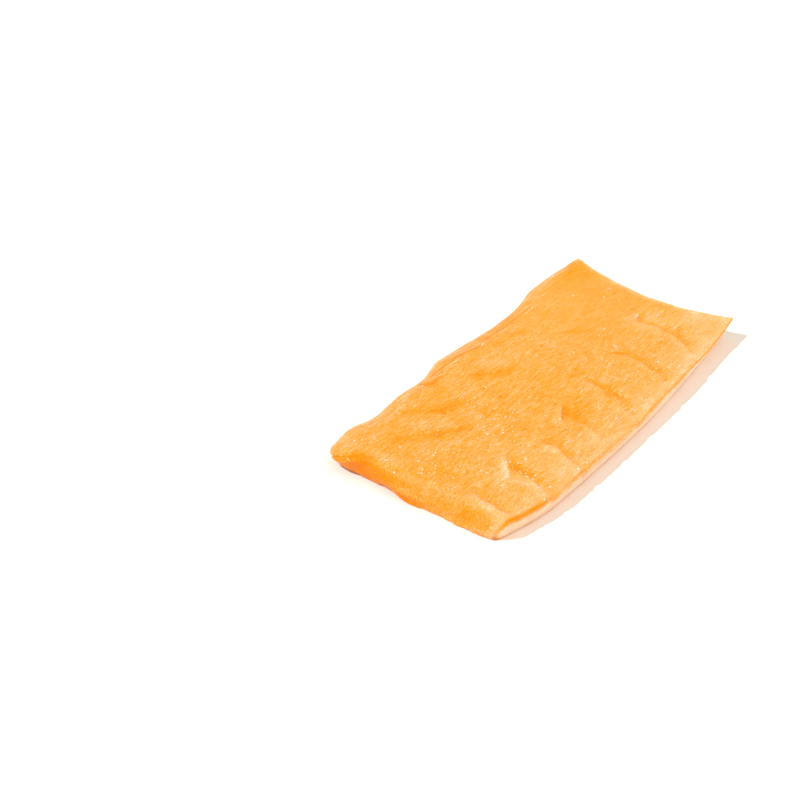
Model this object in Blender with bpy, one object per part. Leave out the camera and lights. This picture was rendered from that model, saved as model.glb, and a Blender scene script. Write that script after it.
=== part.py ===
"""One slice of raw salmon for sashimi, cut on the bias from a fillet and lying flat.

Metres, +Z up. The slice is one soft solid. Its long side runs along X, its thin overhanging lip
faces -Y, its sloping rim faces +Y, and it rests on the plane Z = 0 with the origin at the centre
of its base. It is a block cut by a fine grid of planes, whose points are then moved by the rules
below: rounded edges, bowed outline, bias cut, uneven height, and the relief of its flakes.
"""

import math
from collections import namedtuple

import bmesh
import bpy
import numpy as np

MM = 0.001

NODE = "salmon_slice"
FLESH_COLOUR = (0.98, 0.46, 0.09, 1.0)
FLESH_ROUGHNESS = 0.35

# The block that the slice is shaped from
HALF_LENGTH = 41.5 * MM
HALF_WIDTH = 19.0 * MM
THICKNESS = 4.9 * MM
EDGE_ROUND = 1.1 * MM
GRID = 1.1 * MM
WALL_GRID = 1.4 * MM

# Plan radius of each near corner, by the signs of its X and Y. The far corners stay sharp.
CORNER_ROUND = {(-1, 1): 4.2 * MM, (-1, -1): 2.2 * MM}
FAR_SHARPNESS = 0.8

# The lip along -Y: furthest out at LIP_MIDDLE, bowed in towards the ends, drawn in further at
# the near corner, and undercut more and more towards the far one
LIP_Y = -21.6 * MM
LIP_BOW = 2.4 * MM
LIP_MIDDLE = -12.0 * MM
LIP_SPAN = 52.0 * MM
LIP_DRAW = 2.4 * MM
LIP_DRAW_START = -27.0 * MM
LIP_DRAW_SPAN = 14.0 * MM
LIP_DRAW_CURVE = 1.5
LIP_UNDERCUT = 1.6 * MM
FAR_UNDERCUT = 2.0 * MM
UNDERCUT_START = 5.0 * MM
UNDERCUT_SPAN = 38.0 * MM
UNDERCUT_CURVE = 1.2
NOTCH_DEPTH = 0.35 * MM
NOTCH_WIDTH = 0.8 * MM
NOTCH_FLOOR = 0.5
NOTCH_START = -34.0 * MM

# The rim along +Y: a slow wave with bulges, and a bevel that runs out to a nose below it and
# narrows at +X
RIM_Y = 17.6 * MM
RIM_WAVE = 0.9 * MM
RIM_PERIOD = 33.0 * MM
RIM_CREST = 31.0 * MM
Bulge = namedtuple("Bulge", "x out width")
RIM_BULGES = (
    Bulge(-31.5 * MM, 0.9 * MM, 3.5 * MM),
    Bulge(-18.5 * MM, 1.55 * MM, 5.5 * MM),
    Bulge(-4.5 * MM, 0.55 * MM, 3.0 * MM),
    Bulge(11.0 * MM, 0.7 * MM, 9.0 * MM),
    Bulge(30.0 * MM, 0.4 * MM, 6.0 * MM),
    Bulge(44.0 * MM, 0.25 * MM, 3.0 * MM),
)
RIM_SLOPE = 4.0 * MM
RIM_TUCK = 1.2 * MM
RIM_NARROWING = 1.5 * MM
RIM_NARROW_START = 24.0 * MM
RIM_NARROW_END = 42.0 * MM
NOSE_HEIGHT = 0.42
RIM_GROOVE = 0.22 * MM
RIM_GROOVE_IN = 0.8 * MM
RIM_GROOVE_WIDTH = 0.7 * MM
RIM_GROOVE_MIDDLE = 1.0 * MM
RIM_GROOVE_REACH = 14.0 * MM

# The near end at -X: a nose that stands out at its +Y corner, and a slope over the rest
NEAR_X = -41.0 * MM
NEAR_WAVE = 0.6 * MM
NEAR_PERIOD = 21.0 * MM
NEAR_CREST = 1.0 * MM
NEAR_NOSE = 1.7 * MM
NEAR_NOSE_START = 11.0 * MM
NEAR_TUCK = 1.5 * MM
TUCK_START = 1.0 * MM
TUCK_FADE = 6.0 * MM
SLOPE_REACH = 2.6 * MM
SLOPE_SHORTENING = 0.6 * MM
SLOPE_MIDDLE = -6.0 * MM
SLOPE_SPAN = 13.0 * MM
SLOPE_DROP = 1.9 * MM
SLOPE_CURVE = 1.4
SLOPE_END = 1.0 * MM
SLOPE_FADE = 9.0 * MM
NOSE_DROP = 0.4 * MM
BROW_HEIGHT = 0.25 * MM
BROW_WIDTH = 1.2 * MM

# The far end at +X, hollowed between its corners
FAR_X = 40.25 * MM
FAR_HOLLOW = 2.9 * MM
FAR_MIDDLE = -2.2 * MM
FAR_SPAN = 22.0 * MM

# Thinning towards the far end and the sides, and the dip at the middle of the far end
END_THINNING = 0.4 * MM
SIDE_THINNING = 0.3 * MM
FAR_DIP = 0.5 * MM
FAR_DIP_START = 24.0 * MM
FAR_DIP_WIDTH = 11.0 * MM

# Far corners that lift off the board: X, Y, reach and height, and the rise that is taken off all
# round, so that the level foot ends at a clear edge
Lift = namedtuple("Lift", "x y reach height")
LIFTS = (
    Lift(42.0 * MM, -19.5 * MM, 17.0 * MM, 1.7 * MM),
    Lift(43.0 * MM, 20.0 * MM, 15.0 * MM, 1.4 * MM),
)
LIFT_START = 0.10 * MM

# Slow waves of the upper face: height, waves per metre along X and Y, and phase
Wave = namedtuple("Wave", "height along across phase")
WAVES = (
    Wave(0.20 * MM, 29.0, 17.0, 0.6),
    Wave(0.14 * MM, -18.0, 38.0, 2.0),
)

# Seams between flakes: X where each meets the lip, how far it swings to +X, and its length
Seam = namedtuple("Seam", "start swing length")
SEAMS = (
    Seam(24.3 * MM, 6.4 * MM, 17.0 * MM),
    Seam(12.4 * MM, 5.6 * MM, 15.0 * MM),
    Seam(0.1 * MM, 5.1 * MM, 13.5 * MM),
    Seam(-9.8 * MM, 3.9 * MM, 12.0 * MM),
    Seam(-18.9 * MM, 3.3 * MM, 9.0 * MM),
    Seam(-28.8 * MM, 2.5 * MM, 9.5 * MM),
    Seam(-38.4 * MM, 2.2 * MM, 8.0 * MM),
)
SEAM_TURN = 12.5 * MM
SEAM_FADE = 4.0 * MM
SEAM_EDGE = 0.45 * MM
CREST_HEIGHT = 0.30 * MM
CREST_WIDTH = 2.4 * MM
STEP_DEPTH = 0.42 * MM
STEP_WIDTH = 1.5 * MM
LIP_SHARE = 0.35
LIP_FADE = 5.0 * MM

# Small tears at the seams' inner ends: X and Y of the raised flap, its size and its height.
# The pit lies beside the flap, towards the lip.
Tear = namedtuple("Tear", "x y size height")
TEARS = (
    Tear(32.6 * MM, -0.6 * MM, 1.2 * MM, 0.40 * MM),
    Tear(19.2 * MM, -3.4 * MM, 1.3 * MM, 0.42 * MM),
    Tear(-6.6 * MM, -8.2 * MM, 1.4 * MM, 0.50 * MM),
    Tear(-17.0 * MM, -10.2 * MM, 1.3 * MM, 0.30 * MM),
    Tear(-26.8 * MM, -9.2 * MM, 1.8 * MM, 0.60 * MM),
)
TEAR_SHIFT = (1.1 * MM, -1.9 * MM)
PIT_SHARE = 1.2

# Share of the height below which the relief of the upper face has died away
RELIEF_FLOOR = 0.25

# Corners in plan of the one broad face in the middle of the foot, from the origin
REST_CORNERS = ((-34.0 * MM, -14.0 * MM), (20.0 * MM, -14.0 * MM), (6.0 * MM, 16.0 * MM))


def smooth(share):
    """Eases from 0 to 1 as share goes from 0 to 1."""
    held = np.clip(share, 0.0, 1.0)
    return held * held * (3.0 - 2.0 * held)


def bell(offset, width):
    """A bump of height 1 that has fallen to about a third at one width."""
    return np.exp(-((offset / width) ** 2))


def stations(half, spacing):
    """Cut positions across the block: two over each rounded edge, the rest evenly between."""
    inner = half - EDGE_ROUND
    on_arc = inner + EDGE_ROUND * math.tan(math.pi / 8)
    count = max(1, round(2 * inner / spacing))
    return [-on_arc, *np.linspace(-inner, inner, count + 1), on_arc]


def cut_block():
    """The plain block, cut by planes into a closed skin of small squares."""
    halves = (HALF_LENGTH, HALF_WIDTH, THICKNESS / 2)
    skin = bmesh.new()
    bmesh.ops.create_cube(skin, size=2.0)
    bmesh.ops.scale(skin, vec=halves, verts=skin.verts)
    for axis, spacing in enumerate((GRID, GRID, WALL_GRID)):
        normal = [0.0, 0.0, 0.0]
        normal[axis] = 1.0
        for position in stations(halves[axis], spacing):
            bmesh.ops.bisect_plane(
                skin,
                geom=skin.verts[:] + skin.edges[:] + skin.faces[:],
                dist=0.001 * MM,
                plane_co=[position * share for share in normal],
                plane_no=normal,
            )
    return skin


def round_edges(points):
    """Draws the block's edges and corners onto an arc of EDGE_ROUND."""
    inner = np.array([HALF_LENGTH, HALF_WIDTH, THICKNESS / 2]) - EDGE_ROUND
    core = np.clip(points, -inner, inner)
    offset = points - core
    length = np.linalg.norm(offset, axis=1, keepdims=True)
    return core + offset * EDGE_ROUND / length


def sharpen_corners(x, y):
    """Draws the two far corners in plan out of the arcs that rounding the edges gave them."""
    deep_x = np.maximum(0.0, x - (HALF_LENGTH - EDGE_ROUND))
    deep_y = np.maximum(0.0, np.abs(y) - (HALF_WIDTH - EDGE_ROUND))
    deepest = np.maximum(np.maximum(deep_x, deep_y), 1e-12)
    push = FAR_SHARPNESS * (np.hypot(deep_x, deep_y) / deepest - 1.0)
    inside = (deep_x > 0) & (deep_y > 0)
    return x + inside * deep_x * push, y + inside * np.sign(y) * deep_y * push


def round_corners(x, y):
    """Draws the near corners in plan onto arcs, each with its own radius."""
    for (sign_x, sign_y), radius in CORNER_ROUND.items():
        deep_x = np.maximum(0.0, sign_x * x - (HALF_LENGTH - radius))
        deep_y = np.maximum(0.0, sign_y * y - (HALF_WIDTH - radius))
        length = np.hypot(deep_x, deep_y)
        pull = np.where(length > 0, np.maximum(deep_x, deep_y) / np.maximum(length, 1e-12), 1.0)
        x = x - sign_x * deep_x * (1.0 - pull)
        y = y - sign_y * deep_y * (1.0 - pull)
    return x, y


def lip_line(x):
    """Y of the lip at X, before its notches."""
    bow = LIP_BOW * ((x - LIP_MIDDLE) / LIP_SPAN) ** 2
    past = np.maximum(0.0, (LIP_DRAW_START - x) / LIP_DRAW_SPAN)
    return LIP_Y + bow + LIP_DRAW * past**LIP_DRAW_CURVE


def notches(x):
    """How far the lip is nicked in where the seams meet it, except at the near corner."""
    starts = [seam.start for seam in SEAMS if seam.start > NOTCH_START]
    return NOTCH_DEPTH * sum(bell(x - start, NOTCH_WIDTH) for start in starts)


def rim_narrowing(x):
    """How much narrower the bevel below the rim is at X."""
    share = (x - RIM_NARROW_START) / (RIM_NARROW_END - RIM_NARROW_START)
    return RIM_NARROWING * smooth(share)


def rim_line(x):
    """Y of the rim, where the upper face turns down into the bevel."""
    wave = RIM_WAVE * np.cos(2 * math.pi * (x - RIM_CREST) / RIM_PERIOD)
    bulges = sum(bulge.out * bell(x - bulge.x, bulge.width) for bulge in RIM_BULGES)
    return RIM_Y + wave + bulges + rim_narrowing(x)


def near_line(y, height):
    """X of the near end, whose nose stands out over its foot, which is tucked in below it."""
    wave = NEAR_WAVE * np.cos(2 * math.pi * (y - NEAR_CREST) / NEAR_PERIOD)
    nose = NEAR_NOSE * smooth((y - NEAR_NOSE_START) / (HALF_WIDTH - NEAR_NOSE_START))
    tuck = NEAR_TUCK * smooth((y - TUCK_START) / TUCK_FADE) * (1.0 - height) ** 2
    return NEAR_X - (wave + nose) * smooth(height) + tuck


def far_line(y):
    """X of the far end, hollowed between its corners."""
    return FAR_X + FAR_HOLLOW * ((y - FAR_MIDDLE) / FAR_SPAN) ** 2


def bias(x, across, height, level):
    """How far a point is shifted to +Y by the slanting cut.

    The rim follows the point's share of the height there, the lip its share of the full thickness.
    """
    above = np.clip((1.0 - height) / (1.0 - NOSE_HEIGHT), 0.0, 1.0)
    below = np.clip((NOSE_HEIGHT - height) / NOSE_HEIGHT, 0.0, 1.0)
    bevel = (RIM_SLOPE - rim_narrowing(x)) * np.sin(math.pi / 2 * above)
    at_rim = bevel - RIM_TUCK * below**2
    far = np.clip((x - UNDERCUT_START) / UNDERCUT_SPAN, 0.0, 1.0) ** UNDERCUT_CURVE
    at_lip = (LIP_UNDERCUT + FAR_UNDERCUT * far) * (1.0 - level)
    return at_lip + (at_rim - at_lip) * (across + 1.0) / 2.0


def near_slope(x, y):
    """How far the upper face falls over the near end, which keeps its height at the nose."""
    beside = 1.0 - smooth((y - SLOPE_END) / SLOPE_FADE)
    reach = SLOPE_REACH - SLOPE_SHORTENING * ((y - SLOPE_MIDDLE) / SLOPE_SPAN) ** 2 * beside
    share = np.clip((NEAR_X + reach - x) / reach, 0.0, 1.0)
    fall = (NOSE_DROP + SLOPE_DROP * beside) * share**SLOPE_CURVE
    brow = BROW_HEIGHT * beside * bell(x - NEAR_X - reach, BROW_WIDTH)
    return fall - brow


def thickness(x, y):
    """Height of the upper face over the foot, before its relief."""
    far_end = END_THINNING * np.clip(x / HALF_LENGTH, 0.0, 1.0) ** 2
    sides = SIDE_THINNING * (y / HALF_WIDTH) ** 2
    dip = FAR_DIP * smooth((x - FAR_DIP_START) / (FAR_X - FAR_DIP_START))
    dip = dip * bell(y - FAR_MIDDLE, FAR_DIP_WIDTH)
    return THICKNESS - far_end - sides - dip - near_slope(x, y)


def lift(x, y):
    """How far the curled corners stand off the board."""
    raised = 0.0
    for corner in LIFTS:
        away = np.hypot(x - corner.x, y - corner.y)
        raised = raised + corner.height * np.maximum(0.0, 1.0 - away / corner.reach) ** 2
    return np.maximum(0.0, raised - LIFT_START)


def waves(x, y):
    """Slow rise and fall of the upper face."""
    return sum(
        wave.height * np.sin(2 * math.pi * (wave.along * x + wave.across * y) + wave.phase)
        for wave in WAVES
    )


def flakes(x, y):
    """Low steps of the flakes: each rises to a crest at its seam and drops beyond it.

    They are faint at the lip.
    """
    relief = 0.0
    for seam in SEAMS:
        along = y - lip_line(seam.start)
        swing = seam.swing * np.sin(math.pi / 2 * along / SEAM_TURN)
        across = x - seam.start - swing
        strength = 1.0 - smooth((along - seam.length) / SEAM_FADE)
        strength = strength * (LIP_SHARE + (1.0 - LIP_SHARE) * smooth(along / LIP_FADE))
        beyond = (1.0 + np.tanh(across / SEAM_EDGE)) / 2.0
        crest = CREST_HEIGHT * np.exp(-np.abs(across) / CREST_WIDTH)
        step = STEP_DEPTH * np.exp(-np.abs(across) / STEP_WIDTH)
        relief = relief + strength * ((1.0 - beyond) * crest - beyond * step)
    return relief


def tears(x, y):
    """Raised flaps at the seams' inner ends, each with a pit beside it."""
    relief = 0.0
    for tear in TEARS:
        flap = np.hypot((x - tear.x) * 1.3, y - tear.y)
        pit = np.hypot(x - tear.x - TEAR_SHIFT[0], y - tear.y - TEAR_SHIFT[1])
        relief = relief + tear.height * (bell(flap, tear.size) - PIT_SHARE * bell(pit, tear.size))
    return relief


def rim_groove(x, y):
    """Shallow groove inside the rim, deepest at the middle of its length."""
    across = bell(y - (rim_line(x) - RIM_GROOVE_IN), RIM_GROOVE_WIDTH)
    return -RIM_GROOVE * across * bell(x - RIM_GROOVE_MIDDLE, RIM_GROOVE_REACH)


def shape(points):
    """Moves the block's points onto the slice, with its foot on Z = 0."""
    points = round_edges(points)
    height = points[:, 2] / THICKNESS + 0.5
    x, y = sharpen_corners(points[:, 0], points[:, 1])
    x, y = round_corners(x, y)
    along = x / HALF_LENGTH
    across = y / HALF_WIDTH

    near = near_line(y, height)
    plan_x = near + (far_line(y) - near) * (along + 1.0) / 2.0
    at_edge = smooth((height - NOTCH_FLOOR) / (1.0 - NOTCH_FLOOR)) * (1.0 - across) / 2.0
    lip = lip_line(x) + notches(x) * at_edge
    plan_y = lip + (rim_line(x) - lip) * (across + 1.0) / 2.0
    level_z = height * thickness(plan_x, plan_y)
    shifted_y = plan_y + bias(x, across, height, level_z / THICKNESS)

    relief = waves(plan_x, plan_y) + flakes(plan_x, plan_y)
    relief = relief + tears(plan_x, plan_y) + rim_groove(plan_x, plan_y)
    on_top = smooth((height - RELIEF_FLOOR) / (1.0 - RELIEF_FLOOR))
    z = level_z + lift(plan_x, plan_y) + on_top * relief

    return np.column_stack([plan_x, shifted_y, z])


def middle_of(points):
    """The centre in plan of the points' box, at Z = 0."""
    middle = (points.min(axis=0) + points.max(axis=0)) / 2
    return middle * (1.0, 1.0, 0.0)


def flatten_foot(skin):
    """Gives the level foot one broad face in its middle and a ring of long ones round it."""
    foot = [face for face in skin.faces if all(abs(vert.co.z) < 1e-9 for vert in face.verts)]
    level = set(foot)
    outline = [edge for edge in skin.edges if len(level.intersection(edge.link_faces)) == 1]
    bmesh.ops.delete(skin, geom=foot, context="FACES")
    corners = [skin.verts.new((x, y, 0.0)) for x, y in REST_CORNERS]
    sides = [skin.edges.new((corners[n - 1], corners[n])) for n in range(len(corners))]
    bmesh.ops.triangle_fill(skin, edges=outline + sides, use_beauty=True, normal=(0.0, 0.0, -1.0))
    skin.faces.new(corners)
    bmesh.ops.recalc_face_normals(skin, faces=skin.faces)


def flesh():
    """Wet orange flesh."""
    material = bpy.data.materials.new("salmon_flesh")
    material.use_nodes = True
    surface = material.node_tree.nodes["Principled BSDF"]
    surface.inputs["Base Color"].default_value = FLESH_COLOUR
    surface.inputs["Roughness"].default_value = FLESH_ROUGHNESS
    surface.inputs["Metallic"].default_value = 0.0
    return material


def make_slice():
    """The slice as one closed mesh object."""
    skin = cut_block()
    shaped = shape(np.array([vert.co for vert in skin.verts]))
    for vert, place in zip(skin.verts, shaped - middle_of(shaped)):
        vert.co = place
    flatten_foot(skin)
    bmesh.ops.triangulate(skin, faces=skin.faces, quad_method="SHORT_EDGE", ngon_method="BEAUTY")

    mesh = bpy.data.meshes.new(NODE)
    skin.to_mesh(mesh)
    skin.free()
    mesh.shade_smooth()
    mesh.materials.append(flesh())
    salmon = bpy.data.objects.new(NODE, mesh)
    bpy.context.scene.collection.objects.link(salmon)
    return salmon


def main():
    """Clears the scene and makes the slice."""
    for old in list(bpy.data.objects):
        bpy.data.objects.remove(old)
    make_slice()


main()
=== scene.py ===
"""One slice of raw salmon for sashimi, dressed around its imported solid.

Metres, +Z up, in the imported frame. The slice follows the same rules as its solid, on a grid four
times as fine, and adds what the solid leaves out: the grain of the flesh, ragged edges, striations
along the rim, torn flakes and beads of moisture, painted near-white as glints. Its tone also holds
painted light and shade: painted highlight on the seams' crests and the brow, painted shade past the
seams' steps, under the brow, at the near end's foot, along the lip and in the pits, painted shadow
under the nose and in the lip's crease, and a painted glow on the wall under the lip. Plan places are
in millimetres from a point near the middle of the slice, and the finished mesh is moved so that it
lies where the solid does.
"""

from __future__ import annotations

import logging
import math
from collections.abc import Sequence
from dataclasses import dataclass, field
from enum import Enum

import bpy
import numpy as np
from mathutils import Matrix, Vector
from mathutils.bvhtree import BVHTree


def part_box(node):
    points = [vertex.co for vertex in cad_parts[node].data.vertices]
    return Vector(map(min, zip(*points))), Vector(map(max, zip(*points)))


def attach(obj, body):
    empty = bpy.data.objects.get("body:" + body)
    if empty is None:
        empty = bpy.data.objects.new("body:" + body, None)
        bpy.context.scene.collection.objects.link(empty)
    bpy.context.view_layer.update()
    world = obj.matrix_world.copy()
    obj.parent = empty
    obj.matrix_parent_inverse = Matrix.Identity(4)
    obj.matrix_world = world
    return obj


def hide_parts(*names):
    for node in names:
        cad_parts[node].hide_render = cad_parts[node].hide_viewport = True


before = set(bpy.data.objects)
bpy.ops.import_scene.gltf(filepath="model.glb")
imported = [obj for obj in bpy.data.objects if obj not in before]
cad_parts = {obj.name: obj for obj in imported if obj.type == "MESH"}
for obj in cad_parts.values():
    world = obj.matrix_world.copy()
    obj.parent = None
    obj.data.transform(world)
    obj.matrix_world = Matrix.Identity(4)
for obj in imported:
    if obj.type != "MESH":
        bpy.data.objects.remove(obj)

LOG = logging.getLogger("salmon_sashimi")

MM = 0.001
SLICE_NODE = "salmon_slice"
BODY = "root"
PICTURE_SIDE = 800
TINY = 1e-12

Field = np.ndarray
Colour = tuple[float, float, float]
Place = tuple[float, float]
Direction = tuple[float, float]
Size = tuple[float, float, float]
Faces = Sequence[Sequence[int]]


def smooth(share: Field) -> Field:
    """Eases from 0 to 1 as share goes from 0 to 1, and is level beyond."""
    held = np.clip(share, 0.0, 1.0)
    return held * held * (3.0 - 2.0 * held)


def bell(offset: Field, width: float) -> Field:
    """A bump of height 1 that has fallen to about a third at one width."""
    return np.exp(-((offset / width) ** 2))


def peak(offset: Field, reach: float) -> Field:
    """A sharp crest of height 1 that has fallen to about a third at one reach."""
    return np.exp(-np.abs(offset) / reach)


def past(offset: Field, width: float) -> Field:
    """Turns from 0 to 1 over an edge about two widths wide."""
    return (1.0 + np.tanh(offset / width)) / 2.0


@dataclass(frozen=True)
class Grain:
    """Smooth random field over a plane, the same at each run.

    Attributes:
        seed: Seed of its random draw.
        length: Size of its lumps along the grain, in metres.
        width: Size of its lumps across the grain, in metres.
        height: Largest value that it reaches either way.
        turn: Angle of the grain from the first axis, in degrees.
        knots: Lumps each way before the draw repeats.
    """

    seed: int
    length: float
    width: float
    height: float
    turn: float = 0.0
    knots: int = 128

    def at(self, first: Field, second: Field) -> Field:
        """Value of the field at points of the plane.

        Args:
            first: First coordinate of the points, in metres.
            second: Second coordinate of the points, in metres.

        Returns:
            Values from -height to height.
        """
        table = np.random.default_rng(self.seed).uniform(-1.0, 1.0, (self.knots, self.knots))
        angle = math.radians(self.turn)
        along = (first * math.cos(angle) + second * math.sin(angle)) / self.length
        across = (second * math.cos(angle) - first * math.sin(angle)) / self.width
        column = np.floor(along).astype(int)
        row = np.floor(across).astype(int)
        u = smooth(along - column)
        v = smooth(across - row)

        def knot(right: int, up: int) -> Field:
            """Random values at one corner of each point's square."""
            return table[(column + right) % self.knots, (row + up) % self.knots]

        low = knot(0, 0) * (1.0 - u) + knot(1, 0) * u
        high = knot(0, 1) * (1.0 - u) + knot(1, 1) * u
        return self.height * (low * (1.0 - v) + high * v)


@dataclass(frozen=True)
class Stroke:
    """Soft stroke on the flesh between two places in plan.

    Attributes:
        start: One end, in millimetres.
        end: The other end, in millimetres.
        width: Half width, in millimetres.
        strength: Value along its middle.
    """

    start: Place
    end: Place
    width: float
    strength: float

    def at(self, x: Field, y: Field) -> Field:
        """Strength of the stroke at points in plan.

        Args:
            x: First coordinate, in metres.
            y: Second coordinate, in metres.

        Returns:
            The stroke's value, which fades beside it.
        """
        start = np.array(self.start) * MM
        run = np.array(self.end) * MM - start
        length = max(float(run @ run), TINY)
        share = np.clip(((x - start[0]) * run[0] + (y - start[1]) * run[1]) / length, 0.0, 1.0)
        away = np.hypot(x - start[0] - share * run[0], y - start[1] - share * run[1])
        return self.strength * bell(away, self.width * MM)


def total(strokes: tuple[Stroke, ...], x: Field, y: Field) -> Field:
    """Sum of several strokes at points in plan."""
    return sum((stroke.at(x, y) for stroke in strokes), np.zeros_like(x))


@dataclass(frozen=True)
class Seam:
    """Seam between two flakes, from the lip inwards, in metres.

    Attributes:
        start: X where it meets the lip.
        swing: How far it swings to +X on its way in.
        length: How far in it runs before it fades.
    """

    start: float
    swing: float
    length: float


@dataclass(frozen=True)
class TornEdge:
    """Short sharp edge in the flesh, raised on its right and sunk on its left.

    Attributes:
        start: One end, in plan millimetres.
        end: The other end, in plan millimetres.
        rise: Height of its raised side, in millimetres.
        drop: Depth of its sunk side, in millimetres.
        pit: How far the sunk side reaches, in millimetres.
        tone: How much paler the raised side is.
        depth: How much deeper in colour the sunk side is, as painted shade in its pit.
        flap: How far the raised side reaches, in millimetres.
        pale_share: How much of the raised side is pale.
        sharp: How sharply one side turns into the other, in millimetres.
        tail: How far the edge runs out beyond its ends, in millimetres.
    """

    start: Place
    end: Place
    rise: float
    drop: float
    pit: float
    tone: float
    depth: float
    flap: float = 1.5
    pale_share: float = 0.6
    sharp: float = 0.16
    tail: float = 0.9

    def places(self, x: Field, y: Field) -> tuple[Field, Field, Field]:
        """Where points lie beside the edge.

        Args:
            x: X of the points, in metres.
            y: Y of the points, in metres.

        Returns:
            Distance to the left of the edge in millimetres, share of the sunk side, and how strong
            the edge is there.
        """
        start = np.array(self.start)
        run = np.array(self.end) - start
        length = float(np.hypot(*run))
        heading = run / length
        off_x = x / MM - start[0]
        off_y = y / MM - start[1]
        along = off_x * heading[0] + off_y * heading[1]
        left = off_y * heading[0] - off_x * heading[1]
        beyond = np.maximum(0.0, np.maximum(-along, along - length))
        return left, past(left, self.sharp), bell(beyond, self.tail)

    def relief(self, x: Field, y: Field) -> Field:
        """Raised and sunk sides of the edge.

        Args:
            x: X of the points, in metres.
            y: Y of the points, in metres.

        Returns:
            Height to add to the upper face, in metres.
        """
        left, sunk, strength = self.places(x, y)
        raised = (1.0 - sunk) * self.rise * peak(left, self.flap)
        return strength * (raised - sunk * self.drop * bell(left, self.pit)) * MM

    def shade(self, x: Field, y: Field) -> Field:
        """Colour of the two sides: pale where raised, and painted shade deep in the pit.

        Args:
            x: X of the points, in metres.
            y: Y of the points, in metres.

        Returns:
            Tone to add.
        """
        left, sunk, strength = self.places(x, y)
        pale = (1.0 - sunk) * self.tone * peak(left, self.pale_share * self.flap)
        # The sunk side's deep colour is painted shade in the pit.
        return strength * (pale - self.depth * sunk * bell(left, self.pit))


@dataclass(frozen=True)
class Curl:
    """Far corner that lifts off the board, in metres.

    Attributes:
        x: X of the corner.
        y: Y of the corner.
        reach: How far from the corner the lift goes.
        height: How far the corner stands off.
    """

    x: float
    y: float
    reach: float
    height: float


@dataclass(frozen=True)
class Wave:
    """Slow rise and fall of the upper face.

    Attributes:
        height: Height of the wave, in metres.
        along_x: Turns to a metre along X.
        along_y: Turns to a metre along Y.
        start: Where in its turn the wave is at the middle, in radians.
    """

    height: float
    along_x: float
    along_y: float
    start: float

    def at(self, x: Field, y: Field) -> Field:
        """Height of the wave at points in plan."""
        turns = self.along_x * x + self.along_y * y
        return self.height * np.sin(2 * math.pi * turns + self.start)


@dataclass(frozen=True)
class Bulge:
    """Place where the rim stands out or in, in metres.

    Attributes:
        x: X of its middle.
        out: How far the rim stands out there.
        width: Half width along the rim.
    """

    x: float
    out: float
    width: float


@dataclass(frozen=True)
class Striation:
    """Fine line cut in along the rim, in millimetres.

    Attributes:
        inside: How far inside the rim it runs.
        depth: How deep it is.
    """

    inside: float
    depth: float


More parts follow.
